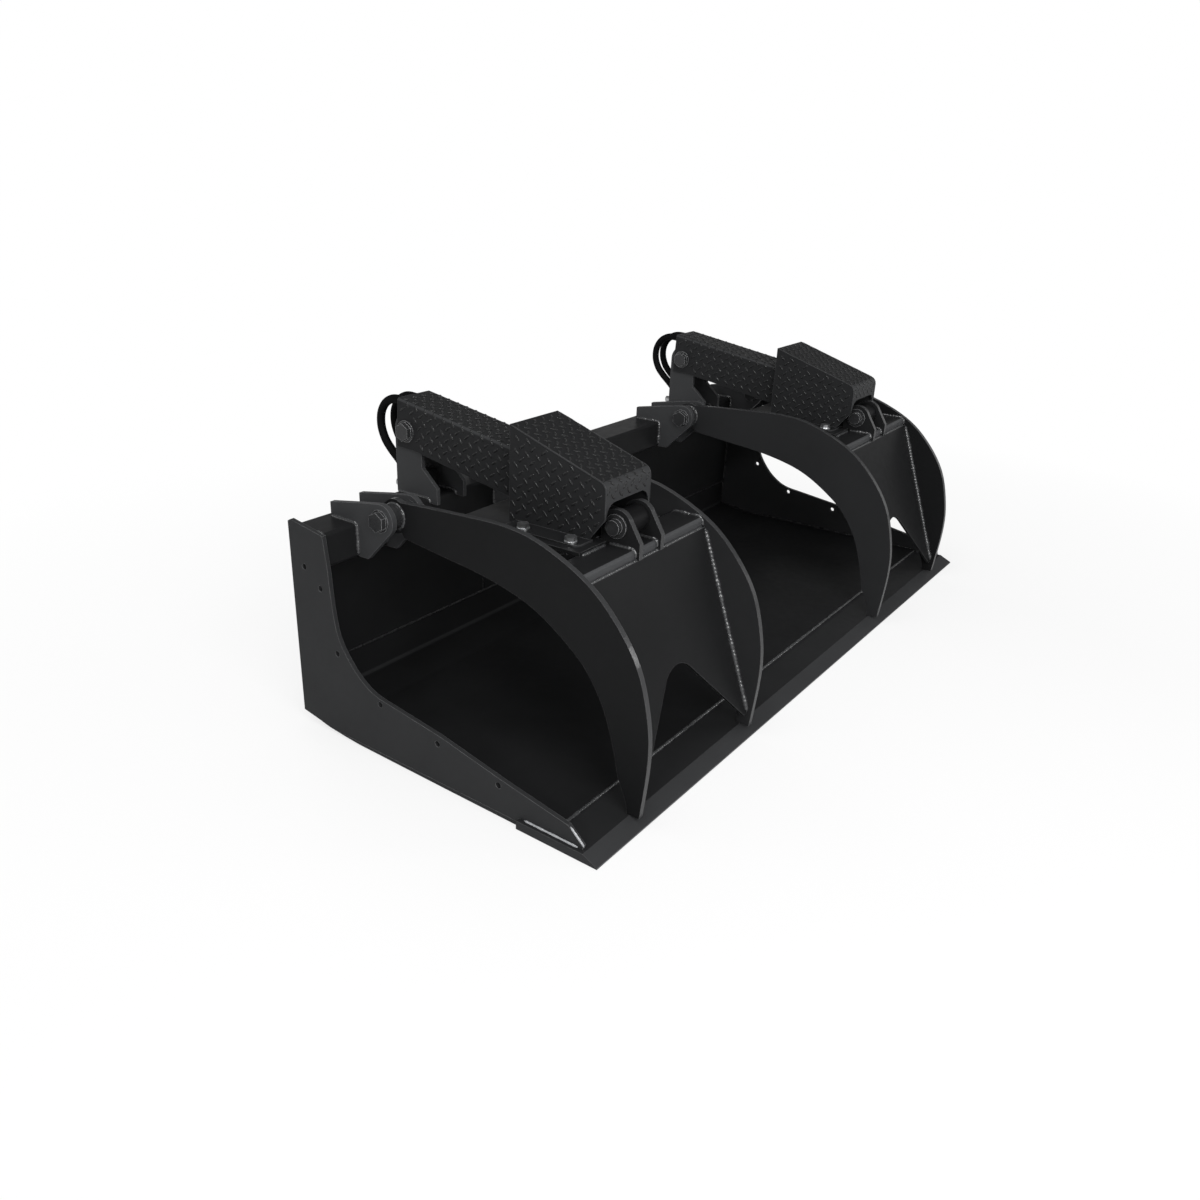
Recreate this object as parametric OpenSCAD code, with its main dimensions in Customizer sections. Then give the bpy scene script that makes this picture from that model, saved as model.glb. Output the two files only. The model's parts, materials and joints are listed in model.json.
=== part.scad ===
// Grapple bucket for a compact loader. A wide bucket carries two grapple arms,
// and each arm is closed by its own hydraulic cylinder under tread plate guards.
// Sizes are in millimetres, +Z is up and the cutting edge faces -Y.
// Outlines are drawn in the side view as [Y, Z] and pulled out along X.

/* [Overall size] */
// Width over the ends of the cutting edge
overall_w = 1981; // [1500:1:2400]
// Depth from the rear of the side plates to the front of the cutting edge
overall_d = 820; // [650:1:1000]
// Height from the ground to the top of the top tube
tube_top = 469; // [380:1:580]

/* [Bucket plates] */
// Thickness of the side plates
side_t = 10; // [6:0.1:16]
// Thickness of the floor plate and the back plate
floor_t = 6.4; // [4:0.1:10]
// Thickness of the cutting edge and the wear bars
edge_t = 19; // [12:0.1:30]
// Width of the cutting edge from rear to front
edge_w = 188; // [120:1:240]
// Depth of the top tube
tube_d = 102; // [80:1:127]
// Height of the top tube
tube_h = 76; // [60:1:102]
// Wall of the top tube and the cross tubes
tube_wall = 6.4; // [4:0.1:10]
// Diameter of the holes in the side plates
side_hole_d = 13.5; // [9:0.1:18]

/* [Grapple arms] */
// Distance of each arm's middle from the bucket's middle
arm_x = 606; // [480:1:700]
// Distance between the middles of an arm's two tines
tine_pitch = 449; // [340:1:520]
// Thickness of the tines and the pivot ears
tine_t = 12.7; // [8:0.1:20]
// Thickness of the skin plate between the tines
skin_t = 6.4; // [4:0.1:10]
// Side of the square cross tube
cross_s = 76; // [60:1:100]
// Diameter of the pivot pins
pivot_d = 31.8; // [25:0.1:40]
// Angle that the arms open by
open_deg = 50; // [30:1:55]

/* [Cylinders] */
// Outside diameter of the cylinder barrels
barrel_od = 76; // [60:1:90]
// Bore of the cylinder barrels
barrel_bore = 64; // [50:1:76]
// Diameter of the rods
rod_d = 32; // [25:0.1:40]
// Diameter of the cylinder pins
pin_d = 25.4; // [20:0.1:30]
// Outside diameter of the hoses
hose_od = 20; // [14:0.1:24]
// Thickness of the tread plate in the guards and hoods
tread_t = 4; // [2.5:0.1:6]

/* [Coupler] */
// Width of the coupler plate on the back
coupler_w = 1146; // [1100:1:1160]
// Thickness of the coupler plate
coupler_t = 9.5; // [6:0.1:13]
// Distance between the middles of the two latch slots
slot_pitch = 832; // [800:1:860]
// Length of each latch slot across the coupler plate
slot_l = 76; // [60:1:90]
// Width of each latch slot
slot_w = 28; // [24:1:34]

/* [Hidden] */
// Fits and overruns
over = 2;
seat = 0.1;
run = 0.08;
gap = 0.5;
round_fn = 72;
curve_steps = 5;

// Bucket shell
wall_r = 8;
kink_y = 104;
heel_deg = 10;
heel_r = 10;
heel_steps = 6;
flange_top = 123;
floor_front_in = 112;
bevel_d = 32.5;
nose_h = 3;
end_over = 10;
side_low = 8;
side_rear_low = 25;
side_front_in = 39;
side_lip = 6;
horn_in = 9;
horn_rise = 16;
horn_rear_rise = 11;
side_edge_shares = [
    [0.952, 0.055], [0.910, 0.122], [0.711, 0.185], [0.521, 0.254], [0.366, 0.292]
];
side_curve_shares = [
    [0.366, 0.292], [0.294, 0.313], [0.240, 0.365], [0.199, 0.437], [0.168, 0.522],
    [0.155, 0.614], [0.148, 0.722], [0.144, 0.830]
];
side_hole_shares = [
    [0.052, 0.823], [0.110, 0.742], [0.159, 0.443], [0.313, 0.277], [0.512, 0.213],
    [0.707, 0.151]
];
wear_bar_w = 76;
wear_bar_shares = [-0.66, -0.22, 0.22, 0.66];

// Coupler plate
coupler_top = 448;
coupler_low = 62;
lip_l = 50;
lip_deg = 45;
lip_bend_r = 6;
ledge_l = 74;
rib_t = 10;
rib_h = 110;
rib_foot_h = 70;

// Pivots and arms
pivot_reach = 175;
pivot_rise = 21;
ear_r = 36;
ear_rear = 20;
ear_rear_rise = 32;
ear_shoulder = 108;
ear_shoulder_rise = 47;
ear_low_reach = 131;
ear_gap = 71;
bush_r = 27;
tine_end_r = 38;
tine_outer_shares = [
    [0.030, 1.068], [0.160, 1.078], [0.300, 1.086], [0.440, 1.091], [0.578, 1.066],
    [0.744, 0.971], [0.855, 0.850], [0.945, 0.682], [0.990, 0.480], [1.000, 0.300]
];
tine_inner_shares = [
    [0.932, 0.100], [0.902, 0.190], [0.886, 0.280], [0.860, 0.394], [0.829, 0.490],
    [0.775, 0.597], [0.709, 0.676], [0.605, 0.765], [0.504, 0.818], [0.361, 0.859],
    [0.194, 0.886], [0.039, 0.912]
];
tip_front_in = 10.32;
tip_rear_in = 38.7;
cross_front_share = 0.7963;
cross_rise = 7;
skin_top_drop = 22;
skin_foot_share = [0.979, 0.102];
skin_foot_w = 12;
notch_half_deg = 42;
notch_r = 65;
rear_bar_y = 332;
rear_bar_d = 32;
rear_bar_h = 38;

// Rod ears and shelf
rod_pin_back = 48;
rod_pin_up = 39;
rod_ear_r = 35;
rod_ear_t = 12;
rod_ear_gap = 67;
rod_ear_front = 9;
rod_ear_front_up = 13;
shelf_t = 8;
shelf_half = 145;
shelf_rear_y = 268;
shelf_front_back = 63;
shelf_corner_r = 34;
shelf_slot_half = 54;
shelf_slot_l = 26;

// Hood over the front of the cylinder
hood_half = 80;
hood_rear_y = 362;
hood_rear_rise = 218;
hood_front_ahead = 24.034;
hood_top_ahead = 6.034;
hood_top_rise = 143;
hood_bend_r = 22;
hood_side_low_rise = 65;
hood_foot_back = 13.966;
arch_rise = 96;
arch_r = 30;
foot_w = 48;
foot_rear_y = 380;
foot_front_back = 4.966;
foot_r = 16;
foot_bolts_out = [32, 34];
foot_bolt_shares = [0.234375, 0.8645833];
foot_bolt_d = 12;
foot_bolt_af = 22;
foot_bolt_head = 9;
foot_nut_h = 11;
foot_washer_r = 14;
washer_t = 3;

// Cylinder base bracket
base_reach = 38;
base_rise = 147;
base_r = 40;
base_plate_t = 10;
base_gap = 1.4;
base_neck_rise = 67;
base_foot_y = 125;
base_foot_rise = 26;
base_leg_drop = 11;

// Barrel, gland, rod and piston, measured forward from the base pin
eye_w = 60;
eye_r = 34;
cap_from = 18;
cap_l = 42;
gland_l = 12;
gland_plug_l = 30;
gland_bore_gap = 6.5;
rod_eye_r = 28;
rod_eye_room = 14;
piston_gap = 5.8;
piston_l = 30;
piston_room = 5;
wall_end = 6;

// Guard over the rear of the cylinder
guard_gap = 0.6;
guard_rise = 67.5;
guard_drop = 37;
guard_rear_top = 37;
guard_rear_low = 23;
guard_heel_drop = 44;
guard_heel_y = 30;
guard_front_in = 29.186;
guard_bend_r = 7;
strap_t = 8;
strap_rear_from = 112;
strap_front_back = 80;

// Pins
head_h = 12;
head_af = 36;
washer_r = 25;
pivot_ring_r = 25;
pivot_head_af = 38;
nut_h = 15;

// Ports, hoses and their fittings
port_x = 22;
port_z = 51;
port_block_l = 26;
port_block_in = 9;
port_block_out = 35;
port_block_low = 24;
port_block_top = 62;
port_from = 64;
rod_port_back = 78;
pipe_r = 8;
ferrule_r = 12;
ferrule_wall_gap = 0.8;
ferrule_l = 34;
ferrule_back = 20;
hose_sides = 10;
hose_steps = 4;
hose_route = [
    [-47, 197], [-27, 201], [2, 206], [32, 206], [58, 193], [74, 168], [76, 137],
    [65, 108], [46, 86], [24, 67], [8, 52], [-4.6, 39.4]
];
hose_end_in = 9;
block_half = 37;
block_l = 48;
block_h = 44;
block_cut = 22;
block_front_r = 8;
fitting_af = 26;
fitting_hex_l = 8;
fitting_l = 26;
stub_r = 9;
stub_l = 17;
stub_nut_l = 9;
stub_af = 20;

// Places worked out from the sizes above
inner_half = overall_w / 2 - end_over - side_t;
edge_rear = -(overall_d - edge_w);
tube_low = tube_top - tube_h;
pivot = [-pivot_reach, tube_top + pivot_rise];
base_pin = [-base_reach, tube_top + base_rise];
cross_front = -cross_front_share * overall_d;
cross_rear = cross_front + cross_s;
cross_top = tube_top + cross_rise;
rod_pin = [cross_front + rod_pin_back, cross_top + rod_pin_up];
tine_in = tine_pitch / 2 - tine_t / 2;
tip_z = edge_t + gap;
tip_front = tip_front_in - overall_d;
tip_rear = tip_rear_in - overall_d;
tine_span = overall_d - pivot_reach;
skin_top = cross_top - skin_top_drop;
skin_foot = [-skin_foot_share[0] * overall_d, skin_foot_share[1] * tube_top];
skin_deg = atan2(cross_front - skin_foot[0] - skin_t, skin_top - skin_foot[1]);
skin_l = (skin_top - skin_foot[1]) / cos(skin_deg);
cylinder_deg = atan2(base_pin[1] - rod_pin[1], base_pin[0] - rod_pin[0]);
closed_l = norm(rod_pin - base_pin);
open_l = norm(opened(rod_pin) - base_pin);
gland_reach = open_l - rod_eye_r - rod_eye_room;
shelf_front = cross_rear - (cross_s - shelf_front_back);
hood_front_y = hood_front_ahead - cross_rear;
hood_top_y = hood_top_ahead - cross_rear;
hood_foot_y = -cross_rear - hood_foot_back;
foot_front_y = -cross_rear - foot_front_back;
base_out_half = barrel_od / 2 + base_gap + base_plate_t;
guard_half = base_out_half + guard_gap + tread_t;
guard_l = gland_reach - guard_front_in;
strap_from = [strap_rear_from, guard_l - strap_front_back];
pin_r = pin_d / 2;
pivot_r = pivot_d / 2;
bore_r = barrel_bore / 2;
hose_r = hose_od / 2;
hose_rear = max([for (p = hose_points(0)) p[1]]);
frame_shift = (overall_d - hose_rear) / 2;

// Points and curves
function opened(p) = let (v = p - pivot)
    pivot + [v[0] * cos(open_deg) + v[1] * sin(open_deg),
             -v[0] * sin(open_deg) + v[1] * cos(open_deg)];

function side_point(share) = [-share[0] * overall_d, share[1] * tube_top];

function tine_point(share) = [pivot[0] - share[0] * tine_span, share[1] * pivot[1]];

function curve_point(a, b, c, d, t) =
    (2 * b + (c - a) * t + (2 * a - 5 * b + 4 * c - d) * t * t
     + (3 * b - a - 3 * c + d) * t * t * t) / 2;

function smooth(k, steps) = let (n = len(k) - 1) concat(
    [for (i = [0:n - 1]) for (s = [0:steps - 1])
        curve_point(k[max(i - 1, 0)], k[i], k[i + 1], k[min(i + 2, n)], s / steps)],
    [k[n]]);

// Arc that rounds the corner b between its neighbours a and c
function corner(a, b, c, r, steps) =
    let (u = (a - b) / norm(a - b), v = (c - b) / norm(c - b),
         half = acos(u * v) / 2, m = (u + v) / norm(u + v),
         o = b + m * r / sin(half),
         f = b + u * r / tan(half) - o, g = b + v * r / tan(half) - o,
         start = atan2(f[1], f[0]),
         turn = ((atan2(g[1], g[0]) - start + 540) % 360) - 180)
    [for (s = [0:steps]) o + r * [cos(start + turn * s / steps),
                                  sin(start + turn * s / steps)]];

function hexagon(af) = [for (i = [0:5]) af / 2 / cos(30) * [cos(60 * i), sin(60 * i)]];

// Placing
module along_x(from, width) {
    translate([from, 0, 0]) rotate([90, 0, 90]) linear_extrude(width) children();
}

module middle_x(width) {
    along_x(-width / 2, width) children();
}

module at_arm(side) {
    translate([side * arm_x, 0, 0]) children();
}

// The cylinder's own frame: origin on the base pin, forward along -Y
module at_cylinder(side) {
    translate([side * arm_x, base_pin[0], base_pin[1]])
        rotate([cylinder_deg, 0, 0]) children();
}

module forward(from, length, r) {
    translate([0, -from, 0]) rotate([90, 0, 0]) cylinder(r = r, h = length, $fn = round_fn);
}

module across(from, width, r) {
    translate([from, 0, 0]) rotate([0, 90, 0]) cylinder(r = r, h = width, $fn = round_fn);
}

module across_at(p, from, width, r) {
    translate([0, p[0], p[1]]) across(from, width, r);
}

module rounded_box(w, h, r) {
    translate([r, 0]) square([w - 2 * r, h]);
    translate([0, r]) square([w, h - 2 * r]);
    for (x = [r, w - r]) for (y = [r, h - r])
        translate([x, y]) circle(r = r, $fn = round_fn);
}

module box_tube_section(w, h) {
    difference() {
        rounded_box(w, h, wall_r);
        translate([tube_wall, tube_wall])
            rounded_box(w - 2 * tube_wall, h - 2 * tube_wall, wall_r / 2);
    }
}

// Bucket shell
module cutting_edge() {
    color("#202122") middle_x(overall_w) polygon([
        [edge_rear, 0], [-overall_d, 0], [-overall_d, nose_h],
        [-overall_d + bevel_d, edge_t], [edge_rear, edge_t]
    ]);
}

module floor_section() {
    arc_y = -floor_t - heel_r;
    kink_z = edge_t + floor_t;
    arc_z = kink_z + (arc_y + heel_r * sin(heel_deg) + kink_y) * tan(heel_deg)
            + heel_r * cos(heel_deg);
    turns = [for (s = [0:heel_steps]) heel_deg + (90 - heel_deg) * s / heel_steps];
    polygon(concat(
        [[-overall_d + floor_front_in, edge_t], [-overall_d + floor_front_in, kink_z],
         [-kink_y, kink_z]],
        [for (a = turns) [arc_y + heel_r * sin(a), arc_z - heel_r * cos(a)]],
        [[-floor_t, flange_top], [0, flange_top]],
        [for (s = [heel_steps:-1:0]) let (a = turns[s], r = heel_r + floor_t)
            [arc_y + r * sin(a), arc_z - r * cos(a)]],
        [[-kink_y + floor_t * tan(heel_deg / 2), edge_t]]
    ));
}

module floor_plate() {
    color("#1b1c1d") middle_x(2 * inner_half) floor_section();
}

module back_plate() {
    color("#1b1c1d") middle_x(2 * inner_half)
        translate([-floor_t, flange_top]) square([floor_t, tube_low - flange_top]);
}

module side_section() {
    difference() {
        polygon(concat(
            [[0, side_rear_low], [-kink_y, side_low], [edge_rear, side_low],
             [edge_rear, edge_t], [-overall_d + side_front_in, edge_t]],
            [for (i = [0:len(side_edge_shares) - 2]) side_point(side_edge_shares[i])],
            smooth([for (p = side_curve_shares) side_point(p)], curve_steps),
            [[-tube_d - side_lip, tube_top], [-horn_in, tube_top + horn_rise],
             [0, tube_top + horn_rear_rise]]
        ));
        for (p = side_hole_shares)
            translate(side_point(p)) circle(d = side_hole_d, $fn = round_fn / 2);
    }
}

module side_plate(side) {
    color("#2c2e30") along_x(side * (inner_half + side_t / 2) - side_t / 2, side_t)
        side_section();
}

module top_tube() {
    color("#222324") middle_x(2 * inner_half)
        translate([-tube_d, tube_low]) box_tube_section(tube_d, tube_h);
}

module wear_bars() {
    color("#202122") for (share = wear_bar_shares)
        translate([share * inner_half, 0, 0]) middle_x(wear_bar_w)
            translate([edge_rear, 0]) square([-edge_rear - kink_y, edge_t]);
}

// Coupler on the back: end ribs close the lip and the ledge
lip_way = [cos(lip_deg), -sin(lip_deg)];
lip_out = [sin(lip_deg), cos(lip_deg)];

module coupler_section() {
    top = [0, coupler_top];
    tip = top + lip_l * lip_way;
    under = [coupler_t, coupler_top - coupler_t * tan(lip_deg)];
    crown = top + [0, coupler_t / cos(lip_deg)];
    low = [coupler_t, coupler_low + coupler_t];
    polygon(concat(
        [[0, coupler_low]], corner([0, coupler_low], crown, tip + coupler_t * lip_out,
                                   coupler_t, curve_steps),
        [tip + coupler_t * lip_out, tip], corner(tip, under, low, lip_bend_r, curve_steps),
        [low, [ledge_l, low[1]], [ledge_l, coupler_low]]
    ));
}

module coupler_plate() {
    color("#222324") difference() {
        middle_x(coupler_w) coupler_section();
        for (side = [-1, 1])
            translate([side * slot_pitch / 2 - slot_l / 2,
                       (ledge_l + coupler_t - slot_w) / 2, coupler_low - over])
                linear_extrude(coupler_t + 2 * over) {
                    translate([slot_w / 2, 0]) square([slot_l - slot_w, slot_w]);
                    for (x = [slot_w / 2, slot_l - slot_w / 2])
                        translate([x, slot_w / 2]) circle(d = slot_w, $fn = round_fn);
                }
    }
}

module coupler_ribs() {
    tip = [0, coupler_top] + lip_l * lip_way;
    color("#222324") for (x = [-coupler_w / 2 - rib_t, coupler_w / 2]) along_x(x, rib_t) {
        polygon([[0, coupler_top], tip + coupler_t * lip_out, tip,
                 [coupler_t, coupler_top - rib_h], [0, coupler_top - rib_h]]);
        polygon([[0, coupler_low], [ledge_l, coupler_low], [ledge_l, coupler_low + coupler_t],
                 [coupler_t, coupler_low + rib_foot_h], [0, coupler_low + rib_foot_h]]);
    }
}

// Pivot ears, saddled over the top tube
module ear_section() {
    difference() {
        union() {
            polygon([
                [-ear_rear, tube_top], [-ear_rear, tube_top + ear_rear_rise],
                [-ear_shoulder, tube_top + ear_shoulder_rise],
                pivot + ear_r * [sin(8), cos(8)],
                pivot - ear_r * [cos(35), sin(35)],
                [-ear_low_reach, tube_low + over], [-tube_d, tube_low + over],
                [-tube_d, tube_top]
            ]);
            translate(pivot) circle(r = ear_r, $fn = round_fn);
        }
        translate(pivot) circle(r = pivot_r + seat, $fn = round_fn);
    }
}

module pivot_ears(side) {
    color("#26282a") at_arm(side) for (tine = [-1, 1]) for (ear = [-1, 1])
        translate([tine * tine_pitch / 2 + ear * (ear_gap + tine_t) / 2, 0, 0])
            middle_x(tine_t) ear_section();
}

// A pin's stack on its far side is drawn by pin_nut
module pin(p, half, r, cap_r, cap_h) {
    across_at(p, -half - cap_h, 2 * half + cap_h + nut_h + washer_t, r);
    across_at(p, -half - cap_h, cap_h, cap_r);
}

module pin_nut(p, half, r, af, ring_r) {
    difference() {
        union() {
            across_at(p, half, washer_t, ring_r);
            translate([half + washer_t, p[0], p[1]]) rotate([0, 90, 0])
                linear_extrude(nut_h - washer_t) polygon(hexagon(af));
        }
        across_at(p, half - over, nut_h + washer_t + 2 * over, r + seat);
    }
}

module pivot_each() {
    for (side = [-1, 1]) for (tine = [-1, 1])
        translate([side * arm_x + tine * tine_pitch / 2, 0, 0]) children();
}

pivot_half = ear_gap / 2 + tine_t;

// A washer and a hexagon head on a pin's left end
module headed_pin(p, half, r, ring_r, af, high) {
    pin(p, half, r, ring_r, washer_t);
    translate([-half - washer_t, p[0], p[1]]) rotate([0, -90, 0])
        linear_extrude(high) polygon(hexagon(af));
}

module pivot_pins() {
    color("#303234") pivot_each()
        headed_pin(pivot, pivot_half, pivot_r, pivot_ring_r, pivot_head_af, head_h);
}

module pivot_nuts() {
    color("#303234") pivot_each()
        pin_nut(pivot, pivot_half, pivot_r, pivot_head_af, pivot_ring_r);
}

// Cylinder base bracket: two plates on the tube with the base pin through them
module bracket_section() {
    difference() {
        union() {
            polygon([
                [base_pin[0] + base_r, tube_top], base_pin + [base_r, 0],
                base_pin - [base_r, 0],
                [base_pin[0] - base_r - over, tube_top + base_neck_rise],
                [-base_foot_y, tube_top + base_foot_rise],
                [-base_foot_y, tube_top - base_leg_drop],
                [-tube_d, tube_top - base_leg_drop], [-tube_d, tube_top]
            ]);
            translate(base_pin) circle(r = base_r, $fn = round_fn);
        }
        translate(base_pin) circle(r = pin_r + seat, $fn = round_fn);
    }
}

module cylinder_bracket(side) {
    color("#34373a") at_arm(side) for (plate = [-1, 1])
        translate([plate * (base_out_half - base_plate_t / 2), 0, 0])
            middle_x(base_plate_t) bracket_section();
}

base_half = guard_half + gap;

module base_pins() {
    color("#303234") for (side = [-1, 1]) at_arm(side)
        headed_pin(base_pin, base_half, pin_r, washer_r, head_af, head_h);
}

module base_nuts() {
    color("#303234") for (side = [-1, 1]) at_arm(side)
        pin_nut(base_pin, base_half, pin_r, head_af, washer_r);
}

// Hoses, and the block on the top tube where they end
function hose_x(k) = (2 * k - 1) * port_x;

function hose_line(k) = smooth([for (p = hose_route) [hose_x(k), p[0], tube_top + p[1]]],
                               hose_steps);

function hose_points(k) = let (line = hose_line(k), n = len(line) - 1)
    [for (i = [0:n])
        let (d = line[min(i + 1, n)] - line[max(i - 1, 0)], t = d / norm(d),
             u0 = cross(t, [1, 0, 0]), u = u0 / norm(u0), v = cross(t, u))
        for (j = [0:hose_sides - 1]) let (a = 360 * j / hose_sides)
            line[i] + hose_r * (cos(a) * u + sin(a) * v)];

module hose(side, k) {
    points = hose_points(k);
    rings = len(points) / hose_sides;
    last = (rings - 1) * hose_sides;
    color("#060606") at_arm(side) polyhedron(points, concat(
        [[for (j = [0:hose_sides - 1]) j]],
        [for (i = [0:rings - 2]) for (j = [0:hose_sides - 1])
            let (a = i * hose_sides + j, b = i * hose_sides + (j + 1) % hose_sides)
            [a, a + hose_sides, b]],
        [for (i = [0:rings - 2]) for (j = [0:hose_sides - 1])
            let (a = i * hose_sides + j, b = i * hose_sides + (j + 1) % hose_sides)
            [b, a + hose_sides, b + hose_sides]],
        [[for (j = [hose_sides - 1:-1:0]) last + j]]
    ));
}

module upright(low, high, r) {
    translate([0, 0, low]) cylinder(r = r, h = high - low, $fn = round_fn);
}

module hose_ends() {
    for (side = [-1, 1]) at_arm(side) for (k = [0, 1])
        translate([hose_x(k), 0, tube_top]) children();
}

module hose_blocks() {
    front = [-block_l, tube_top + block_h];
    color("#222324") for (side = [-1, 1]) at_arm(side) middle_x(2 * block_half)
        polygon(concat(
            [[-block_l, tube_top], [0, tube_top], [0, tube_top + block_h - block_cut],
             [-block_cut, tube_top + block_h]],
            corner([-block_cut, tube_top + block_h], front, [-block_l, tube_top],
                   block_front_r, curve_steps)
        ));
}

// Each hose ends in a ferrule on the block's slope; a stub for the machine's hose faces back
module hose_fittings() {
    color("#8a8d90") hose_ends() {
        translate([0, -block_cut / 2, block_h - block_cut / 2]) rotate([-45, 0, 0])
            difference() {
                union() {
                    linear_extrude(fitting_hex_l) rotate(30) polygon(hexagon(fitting_af));
                    upright(fitting_hex_l - over, fitting_l, ferrule_r);
                }
                upright(hose_end_in - gap, fitting_l + over, hose_r + ferrule_wall_gap);
            }
        translate([0, 0, (block_h - block_cut) / 2]) rotate([-90, 0, 0]) {
            linear_extrude(stub_nut_l) rotate(30) polygon(hexagon(stub_af));
            upright(stub_nut_l - over, stub_nut_l + stub_l, stub_r);
        }
    }
}

// Arm: tines, skin and cross members
module tine_section() {
    outer = concat([for (p = tine_outer_shares) tine_point(p)],
                   [[tip_front, tip_z]]);
    inner = concat([[tip_rear, tip_z]],
                   [for (p = tine_inner_shares) tine_point(p)]);
    difference() {
        union() {
            polygon(concat(smooth(outer, curve_steps), smooth(inner, curve_steps), [pivot]));
            translate(pivot) circle(r = tine_end_r, $fn = round_fn);
        }
        translate(pivot) circle(r = bush_r + seat, $fn = round_fn);
    }
}

module tine(side, place) {
    color("#242526") at_arm(side) translate([place * tine_pitch / 2, 0, 0])
        middle_x(tine_t) tine_section();
}

module bushes(side) {
    color("#2a2c2e") at_arm(side) for (place = [-1, 1])
        translate([place * tine_pitch / 2, pivot[0], pivot[1]]) difference() {
            across(-ear_gap / 2 + 2 * gap, ear_gap - 4 * gap, bush_r);
            across(-ear_gap, 2 * ear_gap, pivot_r + run);
        }
}

// The notch's sides touch the round at its top
module skin_outline() {
    foot_x = tine_in - skin_foot_w;
    rise = (foot_x * cos(notch_half_deg) - notch_r) / sin(notch_half_deg);
    touch = notch_r * [cos(notch_half_deg), sin(notch_half_deg)];
    difference() {
        translate([-tine_in, 0]) square([2 * tine_in, skin_l]);
        translate([0, rise]) circle(r = notch_r, $fn = round_fn);
        polygon([
            [-foot_x - over * sin(notch_half_deg), -over],
            [-touch[0], rise + touch[1]], [touch[0], rise + touch[1]],
            [foot_x + over * sin(notch_half_deg), -over]
        ]);
    }
}

module skin(side) {
    color("#232425") at_arm(side) translate([0, cross_front, skin_top])
        rotate([90 - skin_deg, 0, 0]) translate([0, -skin_l, 0])
            linear_extrude(skin_t) skin_outline();
}

module cross_tube(side) {
    color("#242526") at_arm(side) middle_x(2 * tine_in)
        translate([cross_front, cross_top - cross_s]) box_tube_section(cross_s, cross_s);
}

module rear_bar(side) {
    color("#242526") at_arm(side) middle_x(2 * tine_in)
        translate([-rear_bar_y, cross_top - rear_bar_h]) square([rear_bar_d, rear_bar_h]);
}

module shelf(side) {
    color("#26282a") at_arm(side) translate([0, 0, cross_top]) difference() {
        translate([-shelf_half, shelf_front, 0]) linear_extrude(shelf_t) {
            rounded_box(2 * shelf_half, -shelf_rear_y - shelf_front, shelf_corner_r);
            square([2 * shelf_half, shelf_corner_r]);
        }
        translate([-shelf_slot_half, shelf_front - over, -over])
            cube([2 * shelf_slot_half, shelf_slot_l + over, shelf_t + 2 * over]);
        foot_bolt_places() upright(-over, shelf_t + over, foot_bolt_d / 2 + seat);
    }
}

module rod_ear_section() {
    front = rod_pin + rod_ear_r * [-cos(25), sin(25)];
    difference() {
        union() {
            polygon([
                [rod_pin[0] + rod_ear_r, cross_top], rod_pin + [rod_ear_r, 0], front,
                [cross_front - rod_ear_front, cross_top + rod_ear_front_up],
                [cross_front - rod_ear_front, skin_top + over],
                [cross_front, skin_top + over], [cross_front, cross_top]
            ]);
            translate(rod_pin) circle(r = rod_ear_r, $fn = round_fn);
        }
        translate(rod_pin) circle(r = pin_r + seat, $fn = round_fn);
    }
}

module rod_ears(side) {
    color("#2a2c2e") at_arm(side) for (ear = [-1, 1])
        translate([ear * (rod_ear_gap + rod_ear_t) / 2, 0, 0])
            middle_x(rod_ear_t) rod_ear_section();
}

rod_half = rod_ear_gap / 2 + rod_ear_t;

module rod_pin_piece(side) {
    color("#3a3d40") at_arm(side) {
        pin(rod_pin, rod_half, pin_r, washer_r, washer_t);
        across_at(rod_pin, -rod_half - washer_t - head_h, head_h, pin_r + washer_t);
    }
}

module rod_nut(side) {
    color("#3a3d40") at_arm(side)
        pin_nut(rod_pin, rod_half, pin_r, head_af, washer_r);
}

// Hood: one bent sheet with a foot along each side
hood_slope = atan2(hood_rear_rise - hood_top_rise, hood_top_y - hood_rear_y);

module hood_section() {
    top_rear = [-hood_rear_y, tube_top + hood_rear_rise];
    bend = [-hood_front_y, tube_top + hood_top_rise
            - (hood_front_y - hood_top_y) * tan(hood_slope)];
    low = [-hood_front_y, tube_top + hood_side_low_rise];
    foot_z = cross_top + shelf_t;
    polygon(concat(
        [[-hood_rear_y, foot_z], top_rear],
        corner(top_rear, bend, low, hood_bend_r, curve_steps),
        [low, [-hood_foot_y, foot_z]]
    ));
}

module foot_bolt_places() {
    foot_l = foot_front_y - foot_rear_y;
    for (x = [-1, 1]) for (i = [0, 1])
        translate([x * (hood_half + foot_bolts_out[i]),
                   -foot_rear_y - foot_bolt_shares[i] * foot_l, 0]) children();
}

module hood_foot() {
    difference() {
        translate([hood_half - tread_t, -foot_front_y, 0]) linear_extrude(tread_t) {
            rounded_box(foot_w + tread_t, foot_front_y - foot_rear_y, foot_r);
            square([foot_w / 2, foot_front_y - foot_rear_y]);
        }
        foot_bolt_places() upright(-over, tread_t + over, foot_bolt_d / 2 + seat);
    }
}

module hood(side) {
    drop = tread_t / cos(hood_slope) - tread_t * tan(hood_slope);
    arch_half = hood_half - tread_t;
    color("#26282a") at_arm(side) {
        difference() {
            middle_x(2 * hood_half) hood_section();
            translate([0, tread_t, -drop]) middle_x(2 * arch_half) hood_section();
            translate([-arch_half, over - hood_foot_y, cross_top])
                rotate([90, 0, 0]) linear_extrude(hood_front_y - hood_foot_y + 2 * over) {
                    rounded_box(2 * arch_half, tube_top + arch_rise - cross_top, arch_r);
                    square([2 * arch_half, arch_r]);
                }
        }
        translate([0, 0, cross_top + shelf_t]) {
            hood_foot();
            mirror([1, 0, 0]) hood_foot();
        }
    }
}

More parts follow.
